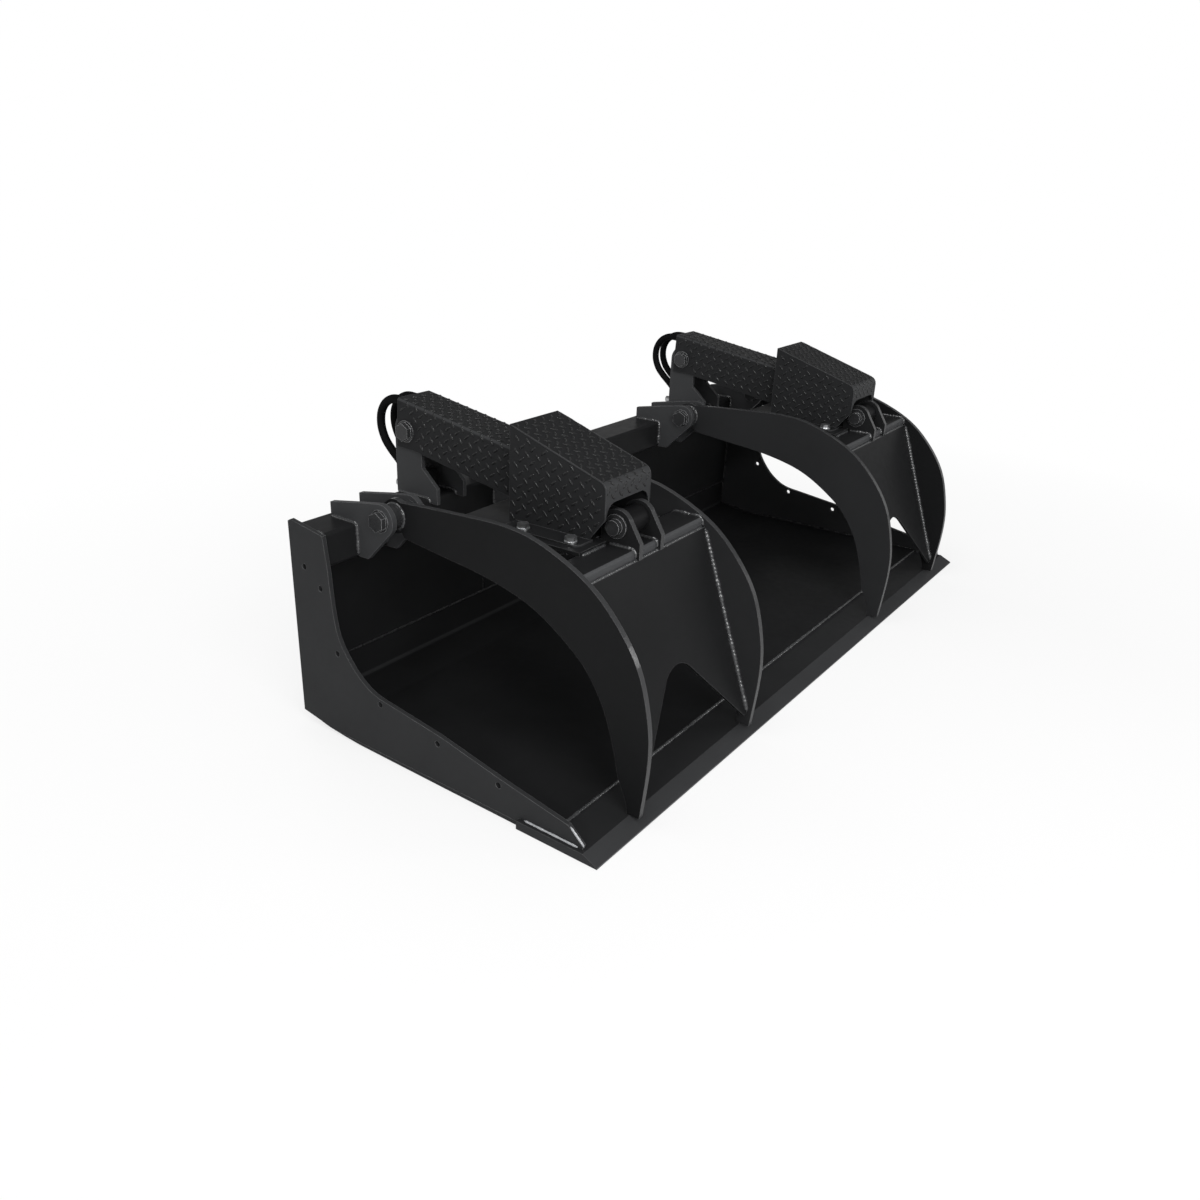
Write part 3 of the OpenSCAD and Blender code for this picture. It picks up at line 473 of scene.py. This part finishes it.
class Shell:
    """Gathers the points and faces of one piece."""

    def __init__(self):
        self.points = []
        self.faces = []

    def sweep(self, line, radii, sides):
        """A tube along line, closed at both ends."""
        start = len(self.points)
        side_way = None
        last = len(line) - 1
        for i, p in enumerate(line):
            along = (line[min(i + 1, last)] - line[max(i - 1, 0)]).normalized()
            if side_way is None:
                side_way = along.orthogonal().normalized()
            side_way = (side_way - along * side_way.dot(along)).normalized()
            other = along.cross(side_way)
            for j in range(sides):
                turn = math.tau * j / sides
                self.points.append(
                    p + radii[i] * (math.cos(turn) * side_way + math.sin(turn) * other))
        for i in range(last):
            for j in range(sides):
                a = start + i * sides + j
                b = start + i * sides + (j + 1) % sides
                self.faces.append((a, b, b + sides, a + sides))
        self.faces.append([start + j for j in reversed(range(sides))])
        self.faces.append([start + last * sides + j for j in range(sides)])

    def piece(self, name, material, body, smooth=True):
        mesh = bpy.data.meshes.new(name)
        mesh.from_pydata(self.points, [], self.faces)
        mesh.validate()
        if smooth:
            mesh.shade_smooth()
        else:
            mesh.shade_flat()
        made = bpy.data.objects.new(name, mesh)
        bpy.context.collection.objects.link(made)
        mesh.materials.append(MATERIALS[material])
        SLOTS.get(material, material)
        if body:
            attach(made, body)
        return made


def spaced(line, step):
    """Points at even steps along a line of straight stretches."""
    lengths = [(b - a).length for a, b in zip(line, line[1:])]
    total = sum(lengths)
    count = max(2, round(total / step))
    points, i, before = [], 0, 0.0
    for k in range(count + 1):
        goal = total * k / count
        while i < len(lengths) - 1 and before + lengths[i] < goal:
            before += lengths[i]
            i += 1
        points.append(line[i].lerp(line[i + 1], (goal - before) / lengths[i]))
    return points


# A bead's step and sides, the lengths of its fine ripple and of its blobs, how much each swells
# it, and how it starts thin at either end
BEAD_STEP, BEAD_SIDES, RIPPLE, BLOB = 2.4 * MM, 8, 9.0 * MM, 34.0 * MM
RIPPLE_SHARE, UNEVEN_SHARE, BLOB_SHARE, NOISE_SCALE = 0.11, 0.22, 0.10, 60
START_SHARE, START_RISE = 0.35, 0.3


def bead(shell, line, radius, rough=1.0):
    """A rippled weld bead along line, tapered at its ends, with its radius in millimetres."""
    points = spaced(line, BEAD_STEP)
    phase = chance.uniform(0, math.tau)
    radii = []
    for i, p in enumerate(points):
        run = i * BEAD_STEP
        ripple = RIPPLE_SHARE * math.sin(math.tau * run / RIPPLE + phase)
        uneven = (UNEVEN_SHARE * noise.noise(p * NOISE_SCALE)
                  + BLOB_SHARE * math.sin(math.tau * run / BLOB + 2 * phase))
        end = min(1.0, START_SHARE + START_RISE * min(i, len(points) - 1 - i))
        radii.append(radius * MM * end * (1 + rough * (ripple + uneven)))
    shell.sweep(points, radii, BEAD_SIDES)


RING_STEPS, CORNER_STEPS = 30, 5


def ring_line(x, centre, radius):
    """A full circle about an X axis, at the part's [y, z] centre."""
    angles = [math.radians(360 * i / RING_STEPS) for i in range(RING_STEPS + 1)]
    return [at(x, centre[0] + radius * math.cos(a), centre[1] + radius * math.sin(a))
            for a in angles]


def over_tube(x, rear, low, front=-TUBE_DEPTH, top=TUBE_TOP):
    """Along a tube's top, round its front corner and down its front face."""
    line = [at(x, rear, top)]
    for i in range(CORNER_STEPS + 1):
        turn = math.radians(90 + 90 * i / CORNER_STEPS)
        line.append(at(x, front + TUBE_ROUND + TUBE_ROUND * math.cos(turn),
                       top - TUBE_ROUND + TUBE_ROUND * math.sin(turn)))
    line.append(at(x, front, low))
    return line


# Weld beads

# A short upright bead on the back plate, and the two lines of a side plate's front end
SEAM_X, SEAM_TOP = -366.7, 158.0
SIDE_SOLE, SIDE_NOSE = (-645.0, -770.0), ((-750, 54), (-780, 26.6), (-781, 22))
# The bevel's start on the cutting edge, and the bend between floor and back
BEVEL_START, HEEL_FRONT, HEEL_REAR, HEEL_HIGH = -776.0, -106.0, (-40.0, 37.0), 66.0


def bucket_welds():
    """The beads of the bucket itself: outside, inside in a darker grey as painted shade, and near
    white at the side plates' front as a painted highlight.
    """
    shell, inner_shell, bright = Shell(), Shell(), Shell()
    ends = (3 - INNER_HALF, INNER_HALF - 3)
    bead(inner_shell, [at(x, BACK_FACE, HEEL_TOP) for x in ends], 2.8)
    bead(shell, [at(x, FLOOR_FRONT, EDGE_TOP + 1.5) for x in ends], 4.0)
    bead(inner_shell, [at(x, BACK_FACE - 0.4, TUBE_LOW - 1) for x in ends], 4.0)
    bead(inner_shell, [at(SEAM_X, BACK_FACE, z) for z in (HEEL_TOP + 1, SEAM_TOP)], 2.6)
    for side in (-1, 1):
        inner = side * INNER_HALF
        outer = side * (INNER_HALF + SIDE_THICK)
        bead(bright, [at(outer, y, EDGE_TOP) for y in SIDE_SOLE], 2.7, 0.8)
        bead(bright, [at(outer - side * 3, y, z) for y, z in SIDE_NOSE], 2.4, 0.5)
        bead(shell, [at(inner, y, EDGE_TOP) for y in (FLOOR_FRONT - 3, BEVEL_START)], 4.0)
        along_floor = ((FLOOR_FRONT + 9, FLOOR_TOP), (HEEL_FRONT, FLOOR_TOP), HEEL_REAR)
        bead(inner_shell, [at(inner, y, z) for y, z in along_floor], 4.0)
        up_back = [at(inner, BACK_FACE - 0.2, z) for z in (HEEL_HIGH, TUBE_LOW - 5)]
        bead(inner_shell, up_back, 4.0)
        bead(shell, over_tube(inner, -4, TUBE_LOW + 3), 4.0)
    shell.piece("bucket_welds", "weld_paint", "bucket")
    inner_shell.piece("inner_welds", "shaded_inner_weld", "bucket")
    bright.piece("side_welds", "highlight_weld", "bucket")


def ear_welds(name, side):
    """The beads of one arm's pivot ears, cylinder bracket and hose block."""
    shell = Shell()
    arm = side * ARM_X
    for tine in (-1, 1):
        for ear in (-1, 1):
            middle = arm + tine * TINE_PITCH / 2 + ear * (EAR_GAP + TINE_THICK) / 2
            for face in (-1, 1):
                x = middle + face * TINE_THICK / 2
                bead(shell, over_tube(x, EAR_REAR, TUBE_LOW + 6), 5.4)
    for plate in (-1, 1):
        for face in (-1, 1):
            x = arm + plate * BRACKET_OUT + face * BRACKET_THICK / 2
            bead(shell, over_tube(x, 0, TUBE_TOP - 12), 4.6)
    bead(shell, [at(arm + end * BLOCK_HALF, BLOCK_FRONT, TUBE_TOP) for end in (-1, 1)], 3.6)
    shell.piece(name + "_ear_welds", "weld_paint", "bucket")


# Where the shelf plate's front meets the cross tube, and how far out its two beads run
SHELF_FRONT, SHELF_BEAD = CROSS_FRONT + 61, (60, 140)


def arm_welds(name, side):
    """The beads of an arm's skin, cross tube, pivot collars, rod ears and shelf plate."""
    shell = Shell()
    arm = side * ARM_X
    corner, cross_rear = TUBE_ROUND, CROSS_FRONT + CROSS_SIDE
    around_tube = [(CROSS_FRONT, SKIN_TOP + 2), (CROSS_FRONT, CROSS_TOP - corner),
                   (CROSS_FRONT + corner, CROSS_TOP), (cross_rear - corner, CROSS_TOP),
                   (cross_rear, CROSS_TOP - corner), (cross_rear, CROSS_TOP - CROSS_SIDE + corner)]
    behind = Vector((0, 7.6 * MM, -2.4 * MM))
    for edge in (-1, 1):
        x = arm + edge * (TINE_INNER - 0.5)
        top = at(x, CROSS_FRONT - 7.5, SKIN_TOP - 2)
        foot = at(x, SKIN_FOOT[0] + 1, SKIN_FOOT[1] + 8)
        bead(shell, [top, foot], 6.0)
        bead(shell, [top.lerp(foot, 0.02) + behind, foot + behind], 3.6)
        bead(shell, [at(x, y, z) for y, z in around_tube], 4.2)
        for face in (-1, 1):
            tine_face = arm + edge * TINE_PITCH / 2 + face * TINE_THICK / 2
            bead(shell, ring_line(tine_face, PIVOT, COLLAR_RADIUS), 3.6)
    bead(shell, [at(arm + end * (TINE_INNER - 6), CROSS_FRONT - 2, SKIN_TOP + 1)
                 for end in (-1, 1)], 3.6)
    for ear in (-1, 1):
        for face in (-1, 1):
            x = arm + ear * ROD_EAR_OUT + face * ROD_EAR_THICK / 2
            bead(shell, over_tube(x, ROD_EAR_REAR, SKIN_TOP + 5, CROSS_FRONT, CROSS_TOP), 4.4)
    for edge in (-1, 1):
        bead(shell, [at(arm + edge * x, SHELF_FRONT, CROSS_TOP + 1) for x in SHELF_BEAD], 3.8)
    shell.piece(name + "_arm_welds", "weld_paint", name + "_arm")


# The two faces of a coupler rib along X, and the stretches of its beads along Z
RIB_FACES, RIB_MIDDLE, RIB_ENDS = (573, 583), (136, 336), ((64, 130), (340, 446))
COUPLER_HALF, COUPLER_TOP = 570, 449


def coupler_welds():
    """The beads of the coupler plate's ribs and top, on its rear face."""
    shell = Shell()
    for side in (-1, 1):
        bead(shell, [at(side * RIB_FACES[0], 0, z) for z in RIB_MIDDLE], 4.2)
        for stretch in RIB_ENDS:
            bead(shell, [at(side * RIB_FACES[1], 0, z) for z in stretch], 3.6)
    bead(shell, [at(end * COUPLER_HALF, 0, COUPLER_TOP) for end in (-1, 1)], 4.2)
    shell.piece("coupler_welds", "weld_paint", "bucket")


# The foot of each side plate, down to the ground, as [y, z] along its low edge
FOOT_LOW = [(-632, 0.4), (-450, 1.0), (-320, 2.0), (-182, 3.0), (-134, 6.0), (-84, 10.6),
            (-60, 15.2)]
FOOT_TOP, FOOT_REAR, FOOT_PROUD = 10.0, 16.2, 0.4


def side_foot(name, side):
    """A strip that goes on where the side plate ends above the ground."""
    shell = Shell()
    outline = FOOT_LOW + [(FOOT_LOW[-1][0], FOOT_REAR), (-92, FOOT_TOP), (FOOT_LOW[0][0], FOOT_TOP)]
    count = len(outline)
    for x in (INNER_HALF, INNER_HALF + SIDE_THICK + FOOT_PROUD):
        shell.points.extend(at(side * x, y, z) for y, z in outline)
    # The left foot mirrors the right one, so its faces run the other way round
    shell.faces.append(list(range(count))[::-side])
    shell.faces.append(list(range(count, 2 * count))[::side])
    for i in range(count):
        j = (i + 1) % count
        shell.faces.append([i, j, count + j, count + i][::side])
    shell.piece(name + "_side_foot", "bracket_paint", "bucket", smooth=False)


bucket_welds()
coupler_welds()
for arm_name, arm_side in SIDES.items():
    side_foot(arm_name, arm_side)
    ear_welds(arm_name, arm_side)
    arm_welds(arm_name, arm_side)


# Raised lugs of the tread plate

LUG_LONG, LUG_WIDE, LUG_HIGH, LUG_PITCH = 20.5, 6.6, 1.6, 13.9
LUG_ROUND, LUG_SUNK, LUG_REACH = 10, 0.2, 40
LUG_MARGIN, LUG_POINTED = 0.36 * LUG_LONG, 1.3
# Each ring of a lug as shares of its outline and of its height
LUG_RING_SHARES = ((1.0, 0.0), (0.78, 0.62), (0.42, 1.0))


def inside(p, outline, margin):
    """Whether p lies in the outline, at least margin from its sides."""
    x, y = p
    hit = False
    for (ax, ay), (bx, by) in zip(outline, outline[1:] + outline[:1]):
        if (ay > y) != (by > y) and x < (bx - ax) * (y - ay) / (by - ay) + ax:
            hit = not hit
        dx, dy = bx - ax, by - ay
        t = max(0.0, min(1.0, ((x - ax) * dx + (y - ay) * dy) / (dx * dx + dy * dy)))
        if math.hypot(x - ax - t * dx, y - ay - t * dy) < margin:
            return False
    return hit


def lug(shell, sheet, u, v, lean):
    """One lens shaped lug, laid on the sheet so that it follows a bend."""
    start = len(shell.points)
    turn_cos, turn_sin = math.cos(lean), math.sin(lean)
    for share, height in LUG_RING_SHARES:
        for i in range(LUG_ROUND):
            turn = math.tau * i / LUG_ROUND
            reach = math.copysign(abs(math.cos(turn)) ** LUG_POINTED, math.cos(turn))
            along = share * LUG_LONG / 2 * reach
            wide = share * LUG_WIDE / 2 * math.sin(turn)
            shell.points.append(sheet(u + along * turn_cos - wide * turn_sin,
                                      v + along * turn_sin + wide * turn_cos,
                                      height * LUG_HIGH - LUG_SUNK))
    shell.points.append(sheet(u, v, LUG_HIGH))
    for ring in range(len(LUG_RING_SHARES) - 1):
        for i in range(LUG_ROUND):
            a = start + ring * LUG_ROUND + i
            b = start + ring * LUG_ROUND + (i + 1) % LUG_ROUND
            shell.faces.append((a, b, b + LUG_ROUND, a + LUG_ROUND))
    top = start + (len(LUG_RING_SHARES) - 1) * LUG_ROUND
    for i in range(LUG_ROUND):
        shell.faces.append((top + i, top + (i + 1) % LUG_ROUND, len(shell.points) - 1))
    shell.faces.append([start + i for i in reversed(range(LUG_ROUND))])


def tread(shell, outline, sheet, first=(0.0, 0.0), tilt=0.0, bare=None, mirrored=1):
    """Crossed lugs over an outline in the sheet's own [u, v].

    first is the place of one lug, tilt turns the rows, bare is a round [u, v, radius] left
    without lugs, and mirrored is -1 where the crossed lugs swap their leans.
    """
    steps = range(-LUG_REACH, LUG_REACH + 1)
    c, s = math.cos(tilt), math.sin(tilt)
    for i in steps:
        for j in steps:
            if (i + j) % 2:
                continue
            u = first[0] + (i * c - j * s) * LUG_PITCH
            v = first[1] + (i * s + j * c) * LUG_PITCH
            if not inside((u, v), outline, LUG_MARGIN):
                continue
            if bare and math.hypot(u - bare[0], v - bare[1]) < bare[2]:
                continue
            lug(shell, sheet, u, v, tilt + math.radians(45 if i % 2 == 0 else -45) * mirrored)


def bent_path(legs):
    """A line of straight legs and bends as a function of its length.

    Each leg is ([a, b], way in degrees, length, radius): radius 0 for a straight one, and else
    the bend's radius, turning to the right.
    """
    def follow(s, lift):
        for k, (begin, way, length, radius) in enumerate(legs):
            if s <= length or k == len(legs) - 1:
                break
            s -= length
        if s < 0 or not radius:
            a = math.radians(way)
            return (begin[0] + s * math.cos(a) - lift * math.sin(a),
                    begin[1] + s * math.sin(a) + lift * math.cos(a))
        a = math.radians(way)
        centre = (begin[0] + radius * math.sin(a), begin[1] - radius * math.cos(a))
        now = a - s / radius
        return (centre[0] - (radius + lift) * math.sin(now),
                centre[1] + (radius + lift) * math.cos(now))
    return follow


CYLINDER_TURN = Matrix.Rotation(CYLINDER_ANGLE, 3, "X")


def on_cylinder(side, x, y, z):
    """A place in the cylinder's own frame, in millimetres from the base pin."""
    return at(side * ARM_X, *BASE_PIN) + CYLINDER_TURN @ Vector((x, y, z)) * MM


# The guard from the base pin: half width, top, low edge and bend, then its front end, its rear
# end, where its low edge gets level and its low rear corner
GUARD_HALF, GUARD_TOP, GUARD_LOW, GUARD_BEND = 54.0, 67.5, -37.0, 7.0
GUARD_LONG, GUARD_REAR, GUARD_NECK, GUARD_TAIL = 380.0, 37.0, 30.0, (-24.0, -42.0)
GUARD_FIRST, PIN_ROUND = (-4.0, -10.5), 36.0


def guard_tread(name, side):
    """The sheet runs up one side, over the top and down the other."""
    shell = Shell()
    rise, flat = GUARD_TOP - GUARD_BEND, 2 * (GUARD_HALF - GUARD_BEND)
    turn = math.radians(90) * GUARD_BEND
    path = bent_path([((-GUARD_HALF, 0.0), 90, rise, 0.0),
                      ((-GUARD_HALF, rise), 90, turn, GUARD_BEND),
                      ((-GUARD_HALF + GUARD_BEND, GUARD_TOP), 0, flat, 0.0),
                      ((GUARD_HALF - GUARD_BEND, GUARD_TOP), 0, turn, GUARD_BEND),
                      ((GUARD_HALF, rise), -90, rise, 0.0)])
    total = 2 * rise + 2 * turn + flat

    def sheet(u, v, lift):
        x, z = path(v, lift)
        return on_cylinder(side, x, -u, z)

    top = rise + turn
    one_side = [(-GUARD_REAR, top), GUARD_TAIL, (GUARD_NECK, GUARD_LOW), (GUARD_LONG, GUARD_LOW)]
    outline = one_side + [(u, total - v) for u, v in reversed(one_side)]
    first = (GUARD_FIRST[0], top + GUARD_FIRST[1])
    tread(shell, outline, sheet, first, bare=(0.0, 0.0, PIN_ROUND), mirrored=-1)
    shell.piece(name + "_guard_tread", "lug_paint", name + "_barrel")


# The hood: half width, seat, low end of its front, front end of its seat, top of the arch in its
# front, then its rear top corner, front face, bend and slope
HOOD_HALF, HOOD_SEAT, HOOD_LOW, HOOD_FOOT, HOOD_ARCH = 80.0, 484.0, 534.0, -563.0, 565.0
HOOD_REAR, HOOD_FRONT, HOOD_BEND = (-362.0, 687.0), -601.0, 22.0
HOOD_SLOPE, HOOD_CHIN = math.atan2(75, 221), 60.0
HOOD_BEND_MIDDLE, HOOD_BEND_STEPS = (-579.0, 590.1), 6
HOOD_FIRST, HOOD_TILT, HOOD_TOP_FIRST = (-461.1, 600.0), math.radians(3.9), -12.0


def hood_tread(name, side):
    """Each side is its own sheet, and one sheet runs over the top and down the front."""
    shell = Shell()
    middle = side * ARM_X
    slope = HOOD_SLOPE
    turn = math.radians(90) - slope
    edge = HOOD_REAR[1] + (HOOD_FRONT - HOOD_REAR[0]) * math.tan(slope)
    tangent = HOOD_BEND * math.tan(turn / 2)
    run = (HOOD_REAR[0] - HOOD_FRONT) / math.cos(slope) - tangent
    side_outline = [(HOOD_REAR[0], HOOD_SEAT + 2), (HOOD_REAR[0], HOOD_REAR[1]),
                    (HOOD_FRONT + 14, edge + 5), (HOOD_FRONT, edge - 14),
                    (HOOD_FRONT, HOOD_LOW), (HOOD_FOOT, HOOD_SEAT + 2)]
    for face in (-1, 1):
        tread(shell, side_outline,
              lambda y, z, lift: at(middle + face * (HOOD_HALF + lift), y, z),
              HOOD_FIRST, HOOD_TILT)
    # The path goes forward, so its first number is the way to the front
    path = bent_path([((-HOOD_REAR[0], HOOD_REAR[1]), -math.degrees(slope), run, 0.0),
                      ((-HOOD_REAR[0] + run * math.cos(slope),
                        HOOD_REAR[1] - run * math.sin(slope)), -math.degrees(slope),
                       turn * HOOD_BEND, HOOD_BEND),
                      ((-HOOD_FRONT, edge - tangent), -90, HOOD_CHIN, 0.0)])

    def sheet(u, v, lift):
        y, z = path(v, lift)
        return at(middle + u, -y, z)

    length = run + turn * HOOD_BEND + edge - tangent - HOOD_ARCH
    tread(shell, [(-HOOD_HALF, 0), (HOOD_HALF, 0), (HOOD_HALF, length), (-HOOD_HALF, length)],
          sheet, (0.0, length + HOOD_TOP_FIRST))
    shell.piece(name + "_hood_tread", "lug_paint", name + "_arm")


def hood_edges(name, side):
    """The hood's welded corners, ground to a soft line, in a lighter paint that paints the
    highlight along them.
    """
    shell = Shell()
    y, z = HOOD_BEND_MIDDLE
    radius = HOOD_BEND - 0.7
    for face in (-1, 1):
        x = side * ARM_X + face * (HOOD_HALF - 0.6)
        line = [at(x, HOOD_REAR[0] - 2, HOOD_REAR[1] - 1.4)]
        for i in range(HOOD_BEND_STEPS + 1):
            turn = HOOD_SLOPE + (math.radians(90) - HOOD_SLOPE) * i / HOOD_BEND_STEPS
            line.append(at(x, y - radius * math.sin(turn), z + radius * math.cos(turn)))
        line.append(at(x, HOOD_FRONT + 0.6, HOOD_LOW + 4))
        bead(shell, line, 1.5, 0.7)
    shell.piece(name + "_hood_edges", "corner_highlight_paint", name + "_arm")


for arm_name, arm_side in SIDES.items():
    guard_tread(arm_name, arm_side)
    hood_tread(arm_name, arm_side)
    hood_edges(arm_name, arm_side)


# Hoses: the route repeats the part's, with finer steps

HOSE_ROUTE = [(-47, 197), (-27, 201), (2, 206), (32, 206), (58, 193), (74, 168), (76, 137),
              (65, 108), (46, 86), (24, 67), (8, 52), (-4.6, 39.4)]
PORT_X, HOSE_RADIUS = 22.0, 9.9
HOSE_STEPS, HOSE_SIDES = 10, 24


def smooth_line(knots, steps):
    """A smooth line through the knots, with steps points to each stretch."""
    points = []
    last = len(knots) - 1
    for i in range(last):
        a, b = knots[max(i - 1, 0)], knots[i]
        c, d = knots[i + 1], knots[min(i + 2, last)]
        for s in range(steps):
            t = s / steps
            points.append((2 * b + (c - a) * t + (2 * a - 5 * b + 4 * c - d) * t * t
                           + (3 * b - a - 3 * c + d) * t ** 3) / 2)
    return points + [knots[-1]]


def hose(node, side, k):
    """One hose from its ferrule on the barrel to its fitting on the tube.

    A smooth line through the route's points carries it.
    """
    x = side * ARM_X + (2 * k - 1) * PORT_X
    line = smooth_line([at(x, y, TUBE_TOP + z) for y, z in HOSE_ROUTE], HOSE_STEPS)
    shell = Shell()
    shell.sweep(line, [HOSE_RADIUS * MM] * len(line), HOSE_SIDES)
    made = shell.piece(node + "_rubber", "hose_rubber", None)
    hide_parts(node)
    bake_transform(made)


for hose_node, hose_side, hose_k in (("left_outer_hose", -1, 0), ("left_inner_hose", -1, 1),
                                     ("right_inner_hose", 1, 0), ("right_outer_hose", 1, 1)):
    hose(hose_node, hose_side, hose_k)


# Floor, light and camera


def seen_through(tree):
    """1 where the camera or glass looks at the background, and 1 where a reflection does."""
    path = add(tree, "ShaderNodeLightPath")
    return (maths(tree, "MAXIMUM", path.outputs["Is Camera Ray"],
                  path.outputs["Is Transmission Ray"]), path.outputs["Is Glossy Ray"])


def pale_floor():
    """A wide white floor that keeps the object's shadow."""
    mesh = bpy.data.meshes.new("floor")
    half = 30.0
    mesh.from_pydata([(-half, -half, 0), (half, -half, 0), (half, half, 0), (-half, half, 0)],
                     [], [(0, 1, 2, 3)])
    floor = bpy.data.objects.new("floor", mesh)
    bpy.context.collection.objects.link(floor)
    floor.location.z = -0.5 * MM
    made, tree, shader = new_material("pale_floor")
    seen, mirrored = seen_through(tree)
    tree.links.new(blended(tree, mirrored, (0.86, 0.86, 0.86, 1), (0.40, 0.40, 0.40, 1)),
                   shader.inputs["Base Color"])
    shader.inputs["Roughness"].default_value = 0.9
    shader.inputs["Specular IOR Level"].default_value = 0.0
    glow = add(tree, "ShaderNodeEmission", s_Strength=1.0)
    mix = add(tree, "ShaderNodeMixShader")
    place = add(tree, "ShaderNodeTexCoord")
    distance = add(tree, "ShaderNodeVectorMath", operation="LENGTH")
    tree.links.new(place.outputs["Object"], distance.inputs[0])
    far = add(tree, "ShaderNodeMapRange", s_From_Min=1.2, s_From_Max=2.6, s_To_Min=0.75,
              s_To_Max=1.0)
    tree.links.new(distance.outputs["Value"], far.inputs["Value"])
    tree.links.new(maths(tree, "MULTIPLY", seen, far.outputs[0]), mix.inputs[0])
    tree.links.new(shader.outputs[0], mix.inputs[1])
    tree.links.new(glow.outputs[0], mix.inputs[2])
    tree.links.new(mix.outputs[0], tree.nodes["Material Output"].inputs["Surface"])
    mesh.materials.append(made)


def sky():
    """A soft room: white where it is seen, and dim in reflections, most of all high up."""
    world = bpy.data.worlds.new("studio")
    bpy.context.scene.world = world
    world.use_nodes = True
    tree = world.node_tree
    ambient = tree.nodes["Background"]
    ambient.inputs["Strength"].default_value = 0.6
    backdrop = add(tree, "ShaderNodeBackground")
    for shade in (ambient, backdrop):
        shade.inputs["Color"].default_value = (1, 1, 1, 1)
    seen, mirrored = seen_through(tree)
    place = add(tree, "ShaderNodeTexCoord")
    split = add(tree, "ShaderNodeSeparateXYZ")
    tree.links.new(place.outputs["Generated"], split.inputs[0])
    dimmed = add(tree, "ShaderNodeMapRange", s_From_Min=0.20, s_From_Max=0.36, s_To_Min=0.50,
                 s_To_Max=0.92)
    tree.links.new(split.outputs[2], dimmed.inputs["Value"])
    lost = maths(tree, "MULTIPLY", mirrored, dimmed.outputs[0])
    tree.links.new(maths(tree, "SUBTRACT", 1.0, lost), backdrop.inputs["Strength"])
    mix = add(tree, "ShaderNodeMixShader")
    tree.links.new(maths(tree, "MAXIMUM", seen, mirrored), mix.inputs[0])
    tree.links.new(ambient.outputs[0], mix.inputs[1])
    tree.links.new(backdrop.outputs[0], mix.inputs[2])
    tree.links.new(mix.outputs[0], tree.nodes["World Output"].inputs["Surface"])


def softbox(name, place, aim, size, power):
    """A flat soft lamp at place, turned to aim."""
    light = bpy.data.lights.new(name, "AREA")
    light.shape = "RECTANGLE"
    light.size, light.size_y = size
    light.energy = power
    made = bpy.data.objects.new(name, light)
    bpy.context.collection.objects.link(made)
    made.location = place
    made.rotation_euler = (Vector(aim) - Vector(place)).to_track_quat("-Z", "Y").to_euler()
    return made


def camera():
    """The photograph's view, solved from the object's straight edges."""
    lens = bpy.data.cameras.new("camera")
    lens.sensor_width = 36.0
    lens.lens = 29.36
    lens.shift_x = 0.0840
    lens.shift_y = 0.0019
    lens.clip_end = 200.0
    made = bpy.data.objects.new("camera", lens)
    bpy.context.collection.objects.link(made)
    place, aim = at(-2189.7, -1599.9, 1150.2), at(9.25, 250.91, -111.63)
    made.location = place
    made.rotation_euler = (aim - place).to_track_quat("-Z", "Y").to_euler()
    bpy.context.scene.camera = made


pale_floor()
sky()
softbox("fill", (-2.1, -2.9, 2.1), (0, 0, 0.3), (2.0, 2.0), 60.0)
softbox("key", (-3.9, -0.5, 1.9), (0, 0, 0.4), (0.4, 0.4), 17.0)
softbox("front_strip", (1.92, -2.77, 1.80), (-0.5, -0.6, 0.35), (0.3, 2.0), 11.0)
softbox("top", (-1.1, 0.1, 3.4), (0, 0, 0.3), (1.4, 1.4), 24.0)
softbox("rear", (0.9, 3.9, 1.4), (0, 0, 0.3), (2.0, 2.0), 45.0).visible_glossy = False
camera()
bpy.context.scene.view_settings.view_transform = "Standard"
